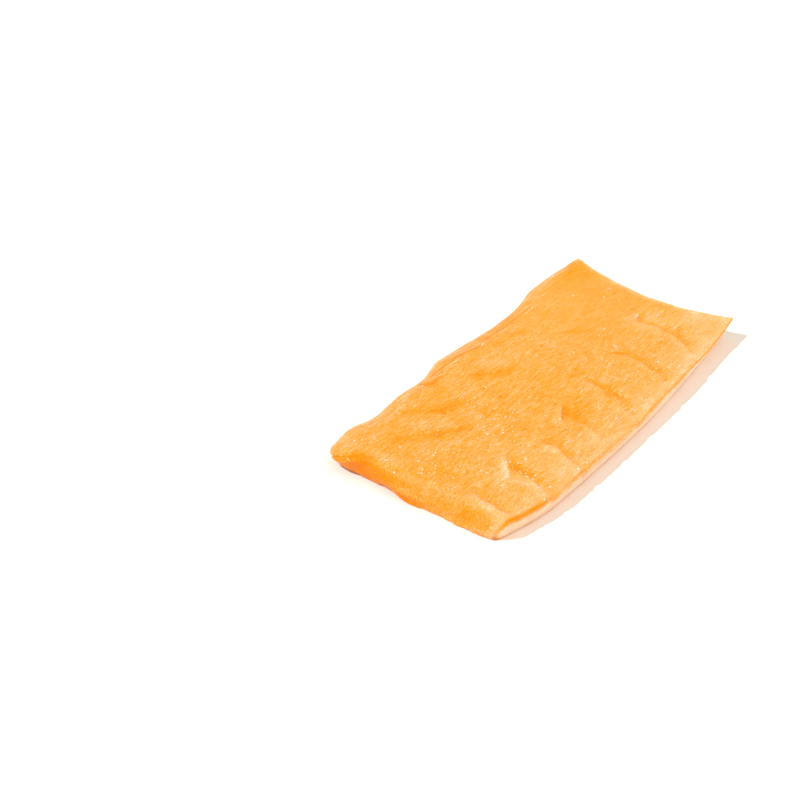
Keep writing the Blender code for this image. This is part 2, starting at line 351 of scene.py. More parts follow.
@dataclass(frozen=True)
class SliceOutline:
    """Plan of the slice: its lip, rim, near end and far end, in metres."""

    half_length: float = 41.5 * MM
    half_width: float = 19.0 * MM
    lip_y: float = -21.6 * MM
    lip_bow: float = 2.4 * MM
    lip_middle: float = -12.0 * MM
    lip_span: float = 52.0 * MM
    lip_draw: float = 2.4 * MM
    draw_start: float = -27.0 * MM
    draw_span: float = 14.0 * MM
    draw_curve: float = 1.5
    notch_depth: float = 0.35 * MM
    notch_width: float = 0.8 * MM
    notch_start: float = -34.0 * MM
    rim_y: float = 17.6 * MM
    rim_wave: float = 0.9 * MM
    rim_period: float = 33.0 * MM
    rim_crest: float = 31.0 * MM
    bulges: tuple[Bulge, ...] = (
        Bulge(-31.5 * MM, 0.9 * MM, 3.5 * MM),
        Bulge(-18.5 * MM, 1.55 * MM, 5.5 * MM),
        Bulge(-4.5 * MM, 0.55 * MM, 3.0 * MM),
        Bulge(11.0 * MM, 0.7 * MM, 9.0 * MM),
        Bulge(30.0 * MM, 0.4 * MM, 6.0 * MM),
        Bulge(44.0 * MM, 0.25 * MM, 3.0 * MM),
    )
    narrowing: float = 1.5 * MM
    narrow_start: float = 24.0 * MM
    narrow_end: float = 42.0 * MM
    near_x: float = -41.0 * MM
    near_wave: float = 0.6 * MM
    near_period: float = 21.0 * MM
    near_crest: float = 1.0 * MM
    near_nose: float = 1.7 * MM
    near_nose_start: float = 11.0 * MM
    near_tuck: float = 1.5 * MM
    tuck_start: float = 1.0 * MM
    tuck_fade: float = 6.0 * MM
    far_x: float = 40.25 * MM
    far_hollow: float = 2.9 * MM
    far_middle: float = -2.2 * MM
    far_span: float = 22.0 * MM

    def lip(self, x: Field) -> Field:
        """Y of the lip before its notches, bowed and drawn in towards the near corner.

        Args:
            x: X of the points.

        Returns:
            Y of the lip there.
        """
        bow = self.lip_bow * ((x - self.lip_middle) / self.lip_span) ** 2
        drawn = np.maximum(0.0, (self.draw_start - x) / self.draw_span)
        return self.lip_y + bow + self.lip_draw * drawn**self.draw_curve

    def notches(self, x: Field, seams: tuple[Seam, ...]) -> Field:
        """How far the lip is nicked in where the seams meet it, in metres."""
        starts = [seam.start for seam in seams if seam.start > self.notch_start]
        return self.notch_depth * sum(bell(x - start, self.notch_width) for start in starts)

    def rim_narrowing(self, x: Field) -> Field:
        """How much narrower the bevel below the rim is at X."""
        share = (x - self.narrow_start) / (self.narrow_end - self.narrow_start)
        return self.narrowing * smooth(share)

    def rim(self, x: Field) -> Field:
        """Y of the rim, where the upper face turns down into the bevel.

        Args:
            x: X of the points.

        Returns:
            Y of the rim there.
        """
        wave = self.rim_wave * np.cos(2 * math.pi * (x - self.rim_crest) / self.rim_period)
        bulges = sum(bulge.out * bell(x - bulge.x, bulge.width) for bulge in self.bulges)
        return self.rim_y + wave + bulges + self.rim_narrowing(x)

    def near(self, y: Field, height: Field) -> Field:
        """X of the near end, whose nose stands out over its tucked foot.

        Args:
            y: Y across the block.
            height: Share of the height, 0 at the foot.

        Returns:
            X of the end face.
        """
        wave = self.near_wave * np.cos(2 * math.pi * (y - self.near_crest) / self.near_period)
        beyond = (y - self.near_nose_start) / (self.half_width - self.near_nose_start)
        tuck = self.near_tuck * smooth((y - self.tuck_start) / self.tuck_fade)
        out = (wave + self.near_nose * smooth(beyond)) * smooth(height)
        return self.near_x - out + tuck * (1.0 - height) ** 2

    def far(self, y: Field) -> Field:
        """X of the far end, hollowed between its corners."""
        return self.far_x + self.far_hollow * ((y - self.far_middle) / self.far_span) ** 2


@dataclass(frozen=True)
class FlakeRelief:
    """Steps of the flakes and the torn edges of the upper face, in metres."""

    seams: tuple[Seam, ...] = (
        Seam(24.3 * MM, 6.4 * MM, 17.0 * MM),
        Seam(12.4 * MM, 5.6 * MM, 15.0 * MM),
        Seam(0.1 * MM, 5.1 * MM, 13.5 * MM),
        Seam(-9.8 * MM, 3.9 * MM, 12.0 * MM),
        Seam(-18.9 * MM, 3.3 * MM, 9.0 * MM),
        Seam(-28.8 * MM, 2.5 * MM, 9.5 * MM),
        Seam(-38.4 * MM, 2.2 * MM, 8.0 * MM),
    )
    turn: float = 12.5 * MM
    fade: float = 4.0 * MM
    lip_share: float = 0.35
    lip_fade: float = 5.0 * MM
    edge: float = 0.60 * MM
    crest_height: float = 0.30 * MM
    crest_width: float = 2.4 * MM
    step_depth: float = 0.42 * MM
    step_width: float = 1.5 * MM
    # The seventh number of each edge is the strength of its painted shade in the pit.
    torn: tuple[TornEdge, ...] = (
        TornEdge((32.2, -1.4), (30.6, -2.3), 0.10, 0.06, 1.8, 0.5, 0.25),
        TornEdge((18.2, -6.0), (17.4, -4.6), 0.14, 0.18, 1.8, 0.6, 0.35),
        TornEdge((-4.7, -7.3), (-7.6, -9.0), 0.32, 0.28, 2.2, 0.7, 0.45),
        TornEdge((-16.7, -9.2), (-19.2, -9.8), 0.18, 0.12, 1.2, 0.25, 0.25),
        TornEdge((-24.3, -8.0), (-28.7, -11.5), 0.14, 0.16, 2.6, 0.32, 0.15),
    )
    step_share: float = 0.75
    tone_share: float = 0.85
    # Painted highlight on each seam's crest, and painted shade past its step.
    crest_highlight_tone: float = 0.30
    crest_highlight_width: float = 2.0 * MM
    seam_shade_tone: float = -0.65
    seam_shade_width: float = 1.5 * MM
    wander: Grain = Grain(61, 2.3 * MM, 2.3 * MM, 0.60 * MM)
    patchy: Grain = Grain(62, 3.2 * MM, 3.2 * MM, 0.45)

    def beside(
        self, seam: Seam, x: Field, y: Field, outline: SliceOutline
    ) -> tuple[Field, Field]:
        """Where points lie beside a seam, which wanders and is faint at the lip.

        Args:
            seam: The seam.
            x: X of the points.
            y: Y of the points.
            outline: Plan of the slice.

        Returns:
            Signed distance past the seam towards +X, and how strong the seam is there.
        """
        along = y - outline.lip(seam.start)
        across = x - seam.start - seam.swing * np.sin(math.pi / 2 * along / self.turn)
        from_lip = self.lip_share + (1.0 - self.lip_share) * smooth(along / self.lip_fade)
        strength = from_lip * (1.0 - smooth((along - seam.length) / self.fade))
        return across + self.wander.at(x, y), strength

    def steps(self, x: Field, y: Field, outline: SliceOutline) -> Field:
        """Each flake rises to a crest at its seam and drops beyond it.

        Args:
            x: X of the points.
            y: Y of the points.
            outline: Plan of the slice.

        Returns:
            Height to add to the upper face.
        """
        relief = np.zeros_like(x)
        patchy = self.step_share + self.patchy.at(x, y)
        for seam in self.seams:
            across, strength = self.beside(seam, x, y, outline)
            beyond = past(across, self.edge)
            crest = self.crest_height * peak(across, self.crest_width)
            step = self.step_depth * peak(across, self.step_width)
            relief = relief + strength * patchy * ((1.0 - beyond) * crest - beyond * step)
        return relief

    def tone(self, x: Field, y: Field, outline: SliceOutline) -> Field:
        """Painted highlight on the crest on one side of each seam, painted shade past its step on the
        other.

        Args:
            x: X of the points.
            y: Y of the points.
            outline: Plan of the slice.

        Returns:
            Tone to add, from deep at -1 to pale at 1.
        """
        shade = np.zeros_like(x)
        patchy = self.tone_share + self.patchy.at(y, x)
        for seam in self.seams:
            across, strength = self.beside(seam, x, y, outline)
            beyond = past(across, self.edge)
            pale = (1.0 - beyond) * peak(across, self.crest_highlight_width)
            deep = beyond * bell(across, self.seam_shade_width)
            shade = shade + strength * patchy * (self.crest_highlight_tone * pale + self.seam_shade_tone * deep)
        return shade


@dataclass(frozen=True)
class UpperFace:
    """Height of the upper face of the slice, in metres."""

    outline: SliceOutline
    flakes: FlakeRelief
    thickness: float = 4.9 * MM
    end_thinning: float = 0.4 * MM
    side_thinning: float = 0.3 * MM
    dip: float = 0.5 * MM
    dip_start: float = 24.0 * MM
    dip_width: float = 11.0 * MM
    slope_reach: float = 2.6 * MM
    slope_shortening: float = 0.6 * MM
    slope_middle: float = -6.0 * MM
    slope_span: float = 13.0 * MM
    slope_drop: float = 1.9 * MM
    slope_curve: float = 1.4
    slope_end: float = 1.0 * MM
    slope_fade: float = 9.0 * MM
    nose_drop: float = 0.4 * MM
    brow_height: float = 0.25 * MM
    brow_width: float = 1.2 * MM
    groove: float = 0.12 * MM
    groove_in: float = 0.8 * MM
    groove_width: float = 0.7 * MM
    groove_middle: float = 1.0 * MM
    groove_reach: float = 14.0 * MM
    waves: tuple[Wave, ...] = (
        Wave(0.20 * MM, 29.0, 17.0, 0.6),
        Wave(0.14 * MM, -18.0, 38.0, 2.0),
    )
    curls: tuple[Curl, ...] = (
        Curl(42.0 * MM, -19.5 * MM, 17.0 * MM, 1.7 * MM),
        Curl(43.0 * MM, 20.0 * MM, 15.0 * MM, 1.4 * MM),
    )
    curl_start: float = 0.10 * MM
    fibres: tuple[Grain, ...] = (
        Grain(71, 9.0 * MM, 1.7 * MM, 0.06 * MM, -8.0),
        Grain(72, 4.5 * MM, 0.9 * MM, 0.045 * MM, -6.0),
        Grain(73, 3.0 * MM, 2.6 * MM, 0.05 * MM),
    )
    streaks: tuple[Stroke, ...] = (
        Stroke((-5.6, 12.0), (0.0, 7.9), 1.3, 1.0),
        Stroke((-23.5, 16.0), (-19.2, 11.3), 1.2, 1.0),
        Stroke((-19.2, 11.3), (-15.3, 9.6), 1.2, 1.0),
        Stroke((-31.6, 11.0), (-25.7, 6.5), 1.3, 1.0),
        Stroke((-25.7, 6.5), (-20.4, 3.7), 1.2, 1.0),
        Stroke((7.0, -3.0), (7.6, -2.6), 0.7, 1.2),
        Stroke((4.0, -12.5), (4.4, -12.1), 0.7, 1.2),
    )
    streak_depth: float = 0.09 * MM
    striations: tuple[Striation, ...] = (
        Striation(0.25, 0.03),
        Striation(-0.35, 0.03),
        Striation(-0.9, 0.02),
    )
    striation_width: float = 0.22 * MM

    def near_slope(self, x: Field, y: Field) -> Field:
        """How far the face falls over the near end, which keeps its height at the nose.

        Args:
            x: X of the points.
            y: Y of the points.

        Returns:
            Fall of the face, less the brow above it.
        """
        beside = 1.0 - smooth((y - self.slope_end) / self.slope_fade)
        bowed = self.slope_shortening * ((y - self.slope_middle) / self.slope_span) ** 2
        reach = self.slope_reach - bowed * beside
        share = np.clip((self.outline.near_x + reach - x) / reach, 0.0, 1.0)
        fall = (self.nose_drop + self.slope_drop * beside) * share**self.slope_curve
        brow = self.brow_height * beside * bell(x - self.outline.near_x - reach, self.brow_width)
        return fall - brow

    def level(self, x: Field, y: Field) -> Field:
        """Height of the upper face over the foot, before its relief.

        Args:
            x: X of the points.
            y: Y of the points.

        Returns:
            Thickness of the slice there.
        """
        far_end = self.end_thinning * np.clip(x / self.outline.half_length, 0.0, 1.0) ** 2
        sides = self.side_thinning * (y / self.outline.half_width) ** 2
        into = (x - self.dip_start) / (self.outline.far_x - self.dip_start)
        dip = self.dip * smooth(into) * bell(y - self.outline.far_middle, self.dip_width)
        return self.thickness - far_end - sides - dip - self.near_slope(x, y)

    def lift(self, x: Field, y: Field) -> Field:
        """How far the curled corners stand off the board.

        Args:
            x: X of the points.
            y: Y of the points.

        Returns:
            Height to add to the whole slice.
        """
        raised = np.zeros_like(x)
        for curl in self.curls:
            away = np.hypot(x - curl.x, y - curl.y)
            raised = raised + curl.height * np.maximum(0.0, 1.0 - away / curl.reach) ** 2
        return np.maximum(0.0, raised - self.curl_start)

    def swell(self, x: Field, y: Field) -> Field:
        """Slow rise and fall of the upper face."""
        return sum(wave.at(x, y) for wave in self.waves)

    def rim_groove(self, x: Field, y: Field) -> Field:
        """Shallow groove inside the rim, deepest at the middle of its length."""
        across = bell(y - (self.outline.rim(x) - self.groove_in), self.groove_width)
        return -self.groove * across * bell(x - self.groove_middle, self.groove_reach)

    def relief(self, x: Field, y: Field, steps: Field) -> Field:
        """Waves, the flakes' steps, the groove inside the rim and the torn edges."""
        relief = self.swell(x, y) + steps + self.rim_groove(x, y)
        return relief + sum(edge.relief(x, y) for edge in self.flakes.torn)

    def grain(self, x: Field, y: Field) -> Field:
        """Relief finer than the solid's: fibres, streaks and striations along the rim.

        Args:
            x: X of the points.
            y: Y of the points.

        Returns:
            Height to add to the upper face.
        """
        relief = sum(fibre.at(x, y) for fibre in self.fibres)
        relief = relief - self.streak_depth * total(self.streaks, x, y)
        inside = self.outline.rim(x) - y
        by_middle = bell(x - self.groove_middle, self.groove_reach)
        for cut in self.striations:
            line = bell(inside - cut.inside * MM, self.striation_width)
            relief = relief - cut.depth * MM * line * by_middle
        return relief


@dataclass(frozen=True)
class PlanPoints:
    """Places in plan of the slice's points, in metres.

    Attributes:
        x: X of the points.
        y: Y of the points before the slanting cut shifts them.
        shifted: Y of the points after it.
        along: Place along the block, -1 at the near end and 1 at the far end.
        across: Place across the block, -1 at the lip and 1 at the rim.
        height: Share of the height, 0 at the foot.
        level: Height before the relief.
    """

    x: Field
    y: Field
    shifted: Field
    along: Field
    across: Field
    height: Field
    level: Field


@dataclass(frozen=True)
class FleshTone:
    """Where the flesh is paler or deeper in colour, from -1 to 1, painted light and shade included.

    Attributes:
        outline: Plan of the slice.
        flakes: Its seams and torn edges.
        patches: Pale and deep patches of the upper face, some of them a painted highlight on the brow
            and painted shade under the nose, under the brow and in a torn pit.
        rim_lines: Fine lines along the rim, and the deeper flesh that they lie in.
        pinholes: Places of the tiny pits of the upper face, shown only as painted shade, in
            millimetres.
    """

    outline: SliceOutline
    flakes: FlakeRelief
    patches: tuple[Stroke, ...] = (
        Stroke((12.5, -20.5), (13.5, -20.0), 2.0, 0.22),
        Stroke((-10.0, -19.1), (-9.0, -18.4), 2.2, 0.24),
        Stroke((-22.2, -18.3), (-20.4, -18.6), 1.5, 0.22),
        Stroke((-29.0, -18.6), (-28.0, -18.0), 1.8, 0.20),
        Stroke((24.0, -19.6), (30.0, -19.0), 1.8, 0.20),
        Stroke((36.0, 14.0), (43.0, 20.0), 6.0, -0.28),
        Stroke((31.0, -4.0), (38.0, -12.0), 3.6, 0.40),
        # Painted shade in the pit beside a torn edge.
        Stroke((-25.3, -10.3), (-26.3, -14.0), 1.2, -0.45),
        # Painted highlight along the brow over the near end.
        Stroke((-37.4, -5.0), (-38.0, -12.0), 1.1, 0.16),
        Stroke((-38.0, -12.0), (-39.0, -17.6), 1.0, 0.08),
        # Painted shadow under the nose of the near end.
        Stroke((-40.6, 15.6), (-40.2, 12.8), 1.3, -1.00),
        Stroke((-40.4, 12.8), (-41.2, 6.0), 1.0, -0.60),
        Stroke((-38.9, 9.6), (-37.6, 6.8), 1.6, 0.20),
        Stroke((-33.0, 12.5), (-26.0, 14.5), 2.2, -0.15),
        Stroke((-17.5, -12.4), (-17.6, -14.0), 0.9, 0.18),
        Stroke((-26.0, -8.6), (-28.8, -10.6), 0.8, 0.45),
        Stroke((-29.4, -10.0), (-27.6, -16.6), 1.2, 0.25),
        Stroke((-10.5, -9.8), (-8.0, -9.6), 1.0, 0.12),
        # Painted shade in the recess under the brow at the near end.
        Stroke((-40.3, -10.2), (-40.2, -15.0), 1.0, -0.45),
        Stroke((11.2, 14.7), (12.9, 13.7), 0.8, -0.40),
        Stroke((17.1, 6.7), (18.9, 5.5), 0.7, -0.40),
        Stroke((4.9, -3.4), (7.0, -4.5), 0.7, -0.40),
    )
    rim_lines: tuple[Stroke, ...] = (
        Stroke((-1.0, 18.95), (-10.5, 19.3), 0.32, -0.95),
        Stroke((4.0, 17.8), (-1.0, 18.95), 0.30, -0.85),
        Stroke((-9.8, 17.4), (-12.9, 18.1), 0.34, -0.95),
        Stroke((-14.5, 17.7), (-18.3, 18.7), 0.22, -0.70),
        Stroke((5.4, 18.6), (13.0, 18.0), 0.28, -0.80),
        Stroke((13.0, 18.0), (22.8, 17.9), 0.25, -0.70),
        Stroke((-9.7, 18.8), (-5.6, 18.5), 0.20, 0.55),
        Stroke((-4.8, 18.4), (-2.6, 18.3), 0.22, 0.55),
        Stroke((-6.7, 22.0), (-3.3, 22.0), 0.55, 0.50),
        Stroke((-1.0, 21.3), (2.6, 21.0), 0.22, 0.60),
        Stroke((-20.3, 20.1), (-17.2, 19.8), 0.26, 0.50),
        Stroke((16.4, 17.3), (22.4, 17.5), 0.18, 0.55),
        Stroke((25.0, 20.4), (38.0, 20.0), 0.70, 0.30),
        Stroke((-12.0, 20.4), (17.0, 19.6), 1.3, -0.28),
        Stroke((-3.0, 16.4), (7.0, 15.8), 1.6, -0.22),
    )
    pinholes: tuple[Place, ...] = (
        (10.1, 2.6), (-4.8, 11.8), (-3.1, 10.2), (-1.6, 9.4), (10.7, 7.5),
        (-8.2, 8.5), (-8.5, 4.3), (-2.7, 0.7), (-4.5, -5.6), (5.5, -12.9),
        (-13.0, 2.9), (-19.2, 9.8), (-13.3, 17.4), (-12.5, 17.2), (-11.7, 17.1),
    )
    pinhole_width: float = 0.28 * MM
    pinhole_shade_tone: float = -2.4
    lines_floor: float = 0.5
    lines_blend: float = 0.15
    streaks: tuple[Stroke, ...] = UpperFace.streaks
    streak_tone: float = -0.42
    cloud: Grain = Grain(81, 9.0 * MM, 6.0 * MM, 0.16, -10.0)
    brush: Grain = Grain(82, 3.6 * MM, 0.60 * MM, 0.10, -6.0)
    hair: Grain = Grain(83, 1.5 * MM, 0.35 * MM, 0.16, -2.0)
    calm: Stroke = Stroke((30.0, 10.0), (43.0, 20.0), 14.0, 0.55)
    pale_start: float = 0.05
    pale_span: float = 0.45
    pale_calm: float = 0.60
    lip_side_tone: float = 0.26
    lip_side_reach: float = 15.0 * MM
    lip_band_tone: float = 0.20
    lip_band_in: float = 1.2 * MM
    lip_band_width: float = 1.0 * MM
    far_band_tone: float = 0.95
    far_band_width: float = 1.5 * MM
    palest_face: float = 0.55
    # Painted shadow under the nose, and painted shade in the recess under the brow and at the foot of
    # the near end.
    under_nose_start: float = -6.0 * MM
    under_nose_fade: float = 9.0 * MM
    under_nose_shadow_tone: float = -1.2
    near_reach: float = 1.2 * MM
    corner_reach: float = 0.6 * MM
    corner_share: float = 0.8
    wedge_height: float = 0.55
    wedge_blend: float = 0.35
    recess_shade_tone: float = -0.22
    recess_height: float = 0.85
    recess_width: float = 0.30
    foot_shade_tone: float = -0.35
    foot_height: float = 0.15
    # Painted glow of light on the wall under the lip, palest at its foot.
    wall_glow_tone: float = 1.1
    wall_fade: float = 0.75
    wall_foot: float = 0.1
    wall_span: float = 0.8
    wall_top: float = 0.85
    wall_blend: float = 0.1
    wall_reach: float = 0.3 * MM
    upper_height: float = 0.7
    upper_blend: float = 0.2
    # Fine line of painted shade along the lip, deeper at the notches.
    line_in: float = 0.4 * MM
    line_width: float = 0.16 * MM
    line_shade_tone: float = 0.06
    line_near_shade_tone: float = -0.45
    line_near: float = -18.5 * MM
    line_near_width: float = 4.0 * MM
    line_far_shade_tone: float = -0.50
    line_far: float = 6.0 * MM
    line_nick_shade_tone: float = -0.30
    line_patchy: Grain = Grain(84, 2.2 * MM, 6.0 * MM, 0.18)
    # Painted shadow in the crease under the lip at the near corner.
    corner_start: float = -27.0 * MM
    corner_fade: float = 6.0 * MM
    crease_in: float = 0.3 * MM
    crease_width: float = 0.45 * MM
    crease_shadow_tone: float = -1.0

    def fibrous(self, x: Field, y: Field) -> Field:
        """How strongly the fibres show, least about the far corner and in pale flesh."""
        pale = smooth((self.broad(x, y) - self.pale_start) / self.pale_span)
        return (1.0 - self.calm.at(x, y)) * (1.0 - self.pale_calm * pale)

    def broad(self, x: Field, y: Field) -> Field:
        """Tone of the upper face away from its edges, without the finest grain.

        Args:
            x: X of the points.
            y: Y of the points.

        Returns:
            Tone from deep to pale.
        """
        from_lip = y - self.outline.lip(x)
        from_far = self.outline.far(y) - x
        shade = self.flakes.tone(x, y, self.outline)
        shade = shade + self.lip_side_tone * (1.0 - smooth(from_lip / self.lip_side_reach))
        shade = shade + self.lip_band_tone * bell(from_lip - self.lip_band_in, self.lip_band_width)
        shade = shade + self.far_band_tone * bell(from_far, self.far_band_width)
        shade = shade + total(self.patches, x, y)
        shade = shade + self.streak_tone * total(self.streaks, x, y)
        return shade + self.cloud.at(x, y)

    def upper(self, x: Field, y: Field) -> Field:
        """Tone of the upper face away from its edges."""
        return self.broad(x, y) + self.fibrous(x, y) * (self.brush.at(x, y) + self.hair.at(x, y))

    def painted_near_shade(self, x: Field, y: Field, height: Field) -> Field:
        """Painted shade of the near end: painted shadow under the nose, painted shade in the recess
        under the brow and at the foot.

        Args:
            x: X of the points.
            y: Y of the points.
            height: Share of the height, 0 at the foot.

        Returns:
            Tone to add.
        """
        from_near = x - self.outline.near(y, height)
        beside_near = bell(from_near, self.near_reach)
        beside_lip = bell(y - self.outline.lip(x), self.corner_reach)
        nose_shadow = smooth((y - self.under_nose_start) / self.under_nose_fade)
        below = 1.0 - smooth((height - self.wedge_height) / self.wedge_blend)
        recess = self.recess_shade_tone * bell(height - self.recess_height, self.recess_width)
        recess = recess + self.foot_shade_tone * (1.0 - smooth(height / self.foot_height))
        deepest = np.minimum(recess, self.under_nose_shadow_tone * nose_shadow * below)
        return deepest * beside_near * (1.0 - self.corner_share * beside_lip)

    def lip_glow_and_shade(self, x: Field, y: Field, height: Field) -> Field:
        """Painted light and shade at the lip: a painted glow on the wall under it, a fine line of
        painted shade over it and a painted shadow in the crease at the near corner.

        Args:
            x: X of the points.
            y: Y of the points.
            height: Share of the height, 0 at the foot.

        Returns:
            Tone to add.
        """
        from_lip = y - self.outline.lip(x)
        up = smooth((height - self.wall_foot) / self.wall_span)
        paler = self.wall_glow_tone * (1.0 - self.wall_fade * up)
        wall = paler * bell(from_lip, self.wall_reach)
        wall = wall * (1.0 - smooth((height - self.wall_top) / self.wall_blend))
        nicked = self.outline.notches(x, self.flakes.seams) / self.outline.notch_depth
        depth = self.line_shade_tone + self.line_far_shade_tone * smooth(x / self.line_far)
        depth = depth + self.line_near_shade_tone * bell(x - self.line_near, self.line_near_width)
        depth = depth + self.line_nick_shade_tone * nicked + self.line_patchy.at(x, y)
        line = np.minimum(depth, 0.0) * bell(from_lip - self.line_in, self.line_width)
        at_corner = smooth((self.corner_start - x) / self.corner_fade)
        crease = self.crease_shadow_tone * at_corner * bell(from_lip - self.crease_in, self.crease_width)
        on_top = smooth((height - self.upper_height) / self.upper_blend)
        return wall + on_top * (line + crease)

    def pits(self, x: Field, y: Field) -> Field:
        """Painted shade of the tiny pits of the upper face."""
        away = (np.hypot(x - spot_x * MM, y - spot_y * MM) for spot_x, spot_y in self.pinholes)
        return self.pinhole_shade_tone * sum(bell(reach, self.pinhole_width) for reach in away)

    def at(self, plan: PlanPoints) -> Field:
        """Tone of the flesh, with its painted light and shade.

        Args:
            plan: The places of the points.

        Returns:
            Tone from deep at -1 to pale at 1.
        """
        x, y, height = plan.x, plan.y, plan.height
        by_rim = smooth((height - self.lines_floor) / self.lines_blend)
        # Rim lines, and the painted shade of the pits.
        lines = by_rim * (total(self.rim_lines, x, plan.shifted) + self.pits(x, y))
        face = self.upper(x, y) + self.painted_near_shade(x, y, height) + lines
        face = np.clip(face, -1.0, self.palest_face)
        face = face + sum(edge.shade(x, y) for edge in self.flakes.torn)
        return np.clip(face + self.lip_glow_and_shade(x, y, height), -1.0, 1.0)


def block_skin(stations: list[Field]) -> tuple[Field, Field]:
    """Surface of a block, cut into squares at the given stations.

    Args:
        stations: Cut positions along X, Y and Z, from low to high.

    Returns:
        Points of the surface, and squares as rows of four point numbers that face out.
    """
    counts = [len(cuts) for cuts in stations]
    steps = np.indices(counts)
    outside = np.zeros(counts, dtype=bool)
    for step, count in zip(steps, counts):
        outside |= (step == 0) | (step == count - 1)
    numbers = np.full(counts, -1)
    numbers[outside] = np.arange(outside.sum())
    grid = np.meshgrid(*stations, indexing="ij")
    points = np.stack([axis[outside] for axis in grid], axis=1)
    squares = []
    for axis in range(3):
        for side in (0, -1):
            plate = np.take(numbers, side, axis=axis)
            corners = (plate[:-1, :-1], plate[1:, :-1], plate[1:, 1:], plate[:-1, 1:])
            rows = np.stack(corners, axis=-1).reshape(-1, 4)
            faces_out = (side == -1) != (axis == 1)
            squares.append(rows if faces_out else rows[:, ::-1])
    return points, np.concatenate(squares)


def mesh_object(name: str, points: Field, faces: Faces) -> bpy.types.Object:
    """A smooth mesh object in the scene.

    Args:
        name: Name of the object and of its mesh.
        points: Places of the points, one row each.
        faces: Point numbers of each face.

    Returns:
        The object.
    """
    mesh = bpy.data.meshes.new(name)
    mesh.from_pydata(points.tolist(), [], faces)
    mesh.shade_smooth()
    mesh.update()
    made = bpy.data.objects.new(name, mesh)
    bpy.context.scene.collection.objects.link(made)
    return made


class Trait(Enum):
    """What the slice's mesh stores at its points, for its material to read."""

    # The tone holds painted light and shade as well as the flesh's own colour.
    TONE = "tone"
    BY_RIM = "by_rim"
    FIBROUS = "fibrous"


def add_trait(piece: bpy.types.Object, trait: Trait, values: Field) -> None:
    """Stores a trait's value at each point of a mesh."""
    layer = piece.data.attributes.new(trait.value, "FLOAT", "POINT")
    layer.data.foreach_set("value", values.astype(np.float32))


class Sum(Enum):
    """What a math node works out."""

    ADD = "ADD"
    SUBTRACT = "SUBTRACT"
    MULTIPLY = "MULTIPLY"
    MULTIPLY_ADD = "MULTIPLY_ADD"


class Graph:
    """One material and its nodes."""

    noise_roughness: float = 0.55

    def __init__(self, name: str, **settings: float | Colour | tuple[float, ...]) -> None:
        """Starts a material.

        Args:
            name: Name of the material.
            **settings: Inputs of its surface to set, with _ for each space in their names.
        """
        self.material = bpy.data.materials.new(name)
        self.material.use_nodes = True
        self.tree = self.material.node_tree
        self.surface = self.tree.nodes["Principled BSDF"]
        for slot, value in settings.items():
            self.surface.inputs[slot.replace("_", " ")].default_value = value

    def node(self, kind: str, **settings: object) -> bpy.types.Node:
        """Adds a node.

        Args:
            kind: Blender's name for the type of node.
            **settings: Properties of the node to set.

        Returns:
            The node.
        """
        made = self.tree.nodes.new(kind)
        for name, value in settings.items():
            setattr(made, name, value)
        return made

    def join(self, source: bpy.types.NodeSocket, target: bpy.types.NodeSocket) -> None:
        """Links an output to an input."""
        self.tree.links.new(source, target)

    def math(self, kind: Sum, *terms: bpy.types.NodeSocket | float) -> bpy.types.NodeSocket:
        """Adds a math node.

        Args:
            kind: What the node works out.
            *terms: Its inputs, as sockets or numbers.

        Returns:
            The node's output.
        """
        made = self.node("ShaderNodeMath", operation=kind.value)
        for slot, term in zip(made.inputs, terms):
            if isinstance(term, (int, float)):
                slot.default_value = term
            else:
                self.join(term, slot)
        return made.outputs["Value"]

    def lumps(self, size: Size, turn: float, detail: float) -> bpy.types.NodeSocket:
        """Noise with lumps of a given size, centred on 0.

        Args:
            size: Size of the lumps along their own three axes, in metres.
            turn: Angle of their first axis from +X, in degrees.
            detail: How many finer layers the noise has.

        Returns:
            A value of about -0.5 to 0.5.
        """
        where = self.node("ShaderNodeTexCoord")
        scaled = self.node("ShaderNodeMapping", vector_type="TEXTURE")
        scaled.inputs["Rotation"].default_value = (0.0, 0.0, math.radians(turn))
        scaled.inputs["Scale"].default_value = size
        noise = self.node("ShaderNodeTexNoise")
        noise.inputs["Scale"].default_value = 1.0
        noise.inputs["Detail"].default_value = detail
        noise.inputs["Roughness"].default_value = self.noise_roughness
        self.join(where.outputs["Object"], scaled.inputs["Vector"])
        self.join(scaled.outputs["Vector"], noise.inputs["Vector"])
        return self.math(Sum.SUBTRACT, noise.outputs["Fac"], 0.5)

    def trait(self, trait: Trait) -> bpy.types.NodeSocket:
        """Reads a trait that the mesh stores at its points."""
        return self.node("ShaderNodeAttribute", attribute_name=trait.value).outputs["Fac"]

    def colour(self, source: bpy.types.NodeSocket) -> None:
        """Lets an output colour the surface."""
        self.join(source, self.surface.inputs["Base Color"])

    def gloss(self, source: bpy.types.NodeSocket) -> None:
        """Lets an output set the surface's roughness."""
        self.join(source, self.surface.inputs["Roughness"])

    def bump(self, source: bpy.types.NodeSocket, depth: float) -> None:
        """Lets an output raise and sink the surface.

        Args:
            source: The output.
            depth: Rise of the surface where the output is 1, in metres.
        """
        made = self.node("ShaderNodeBump")
        made.inputs["Strength"].default_value = 1.0
        made.inputs["Distance"].default_value = depth
        self.join(source, made.inputs["Height"])
        self.join(made.outputs["Normal"], self.surface.inputs["Normal"])


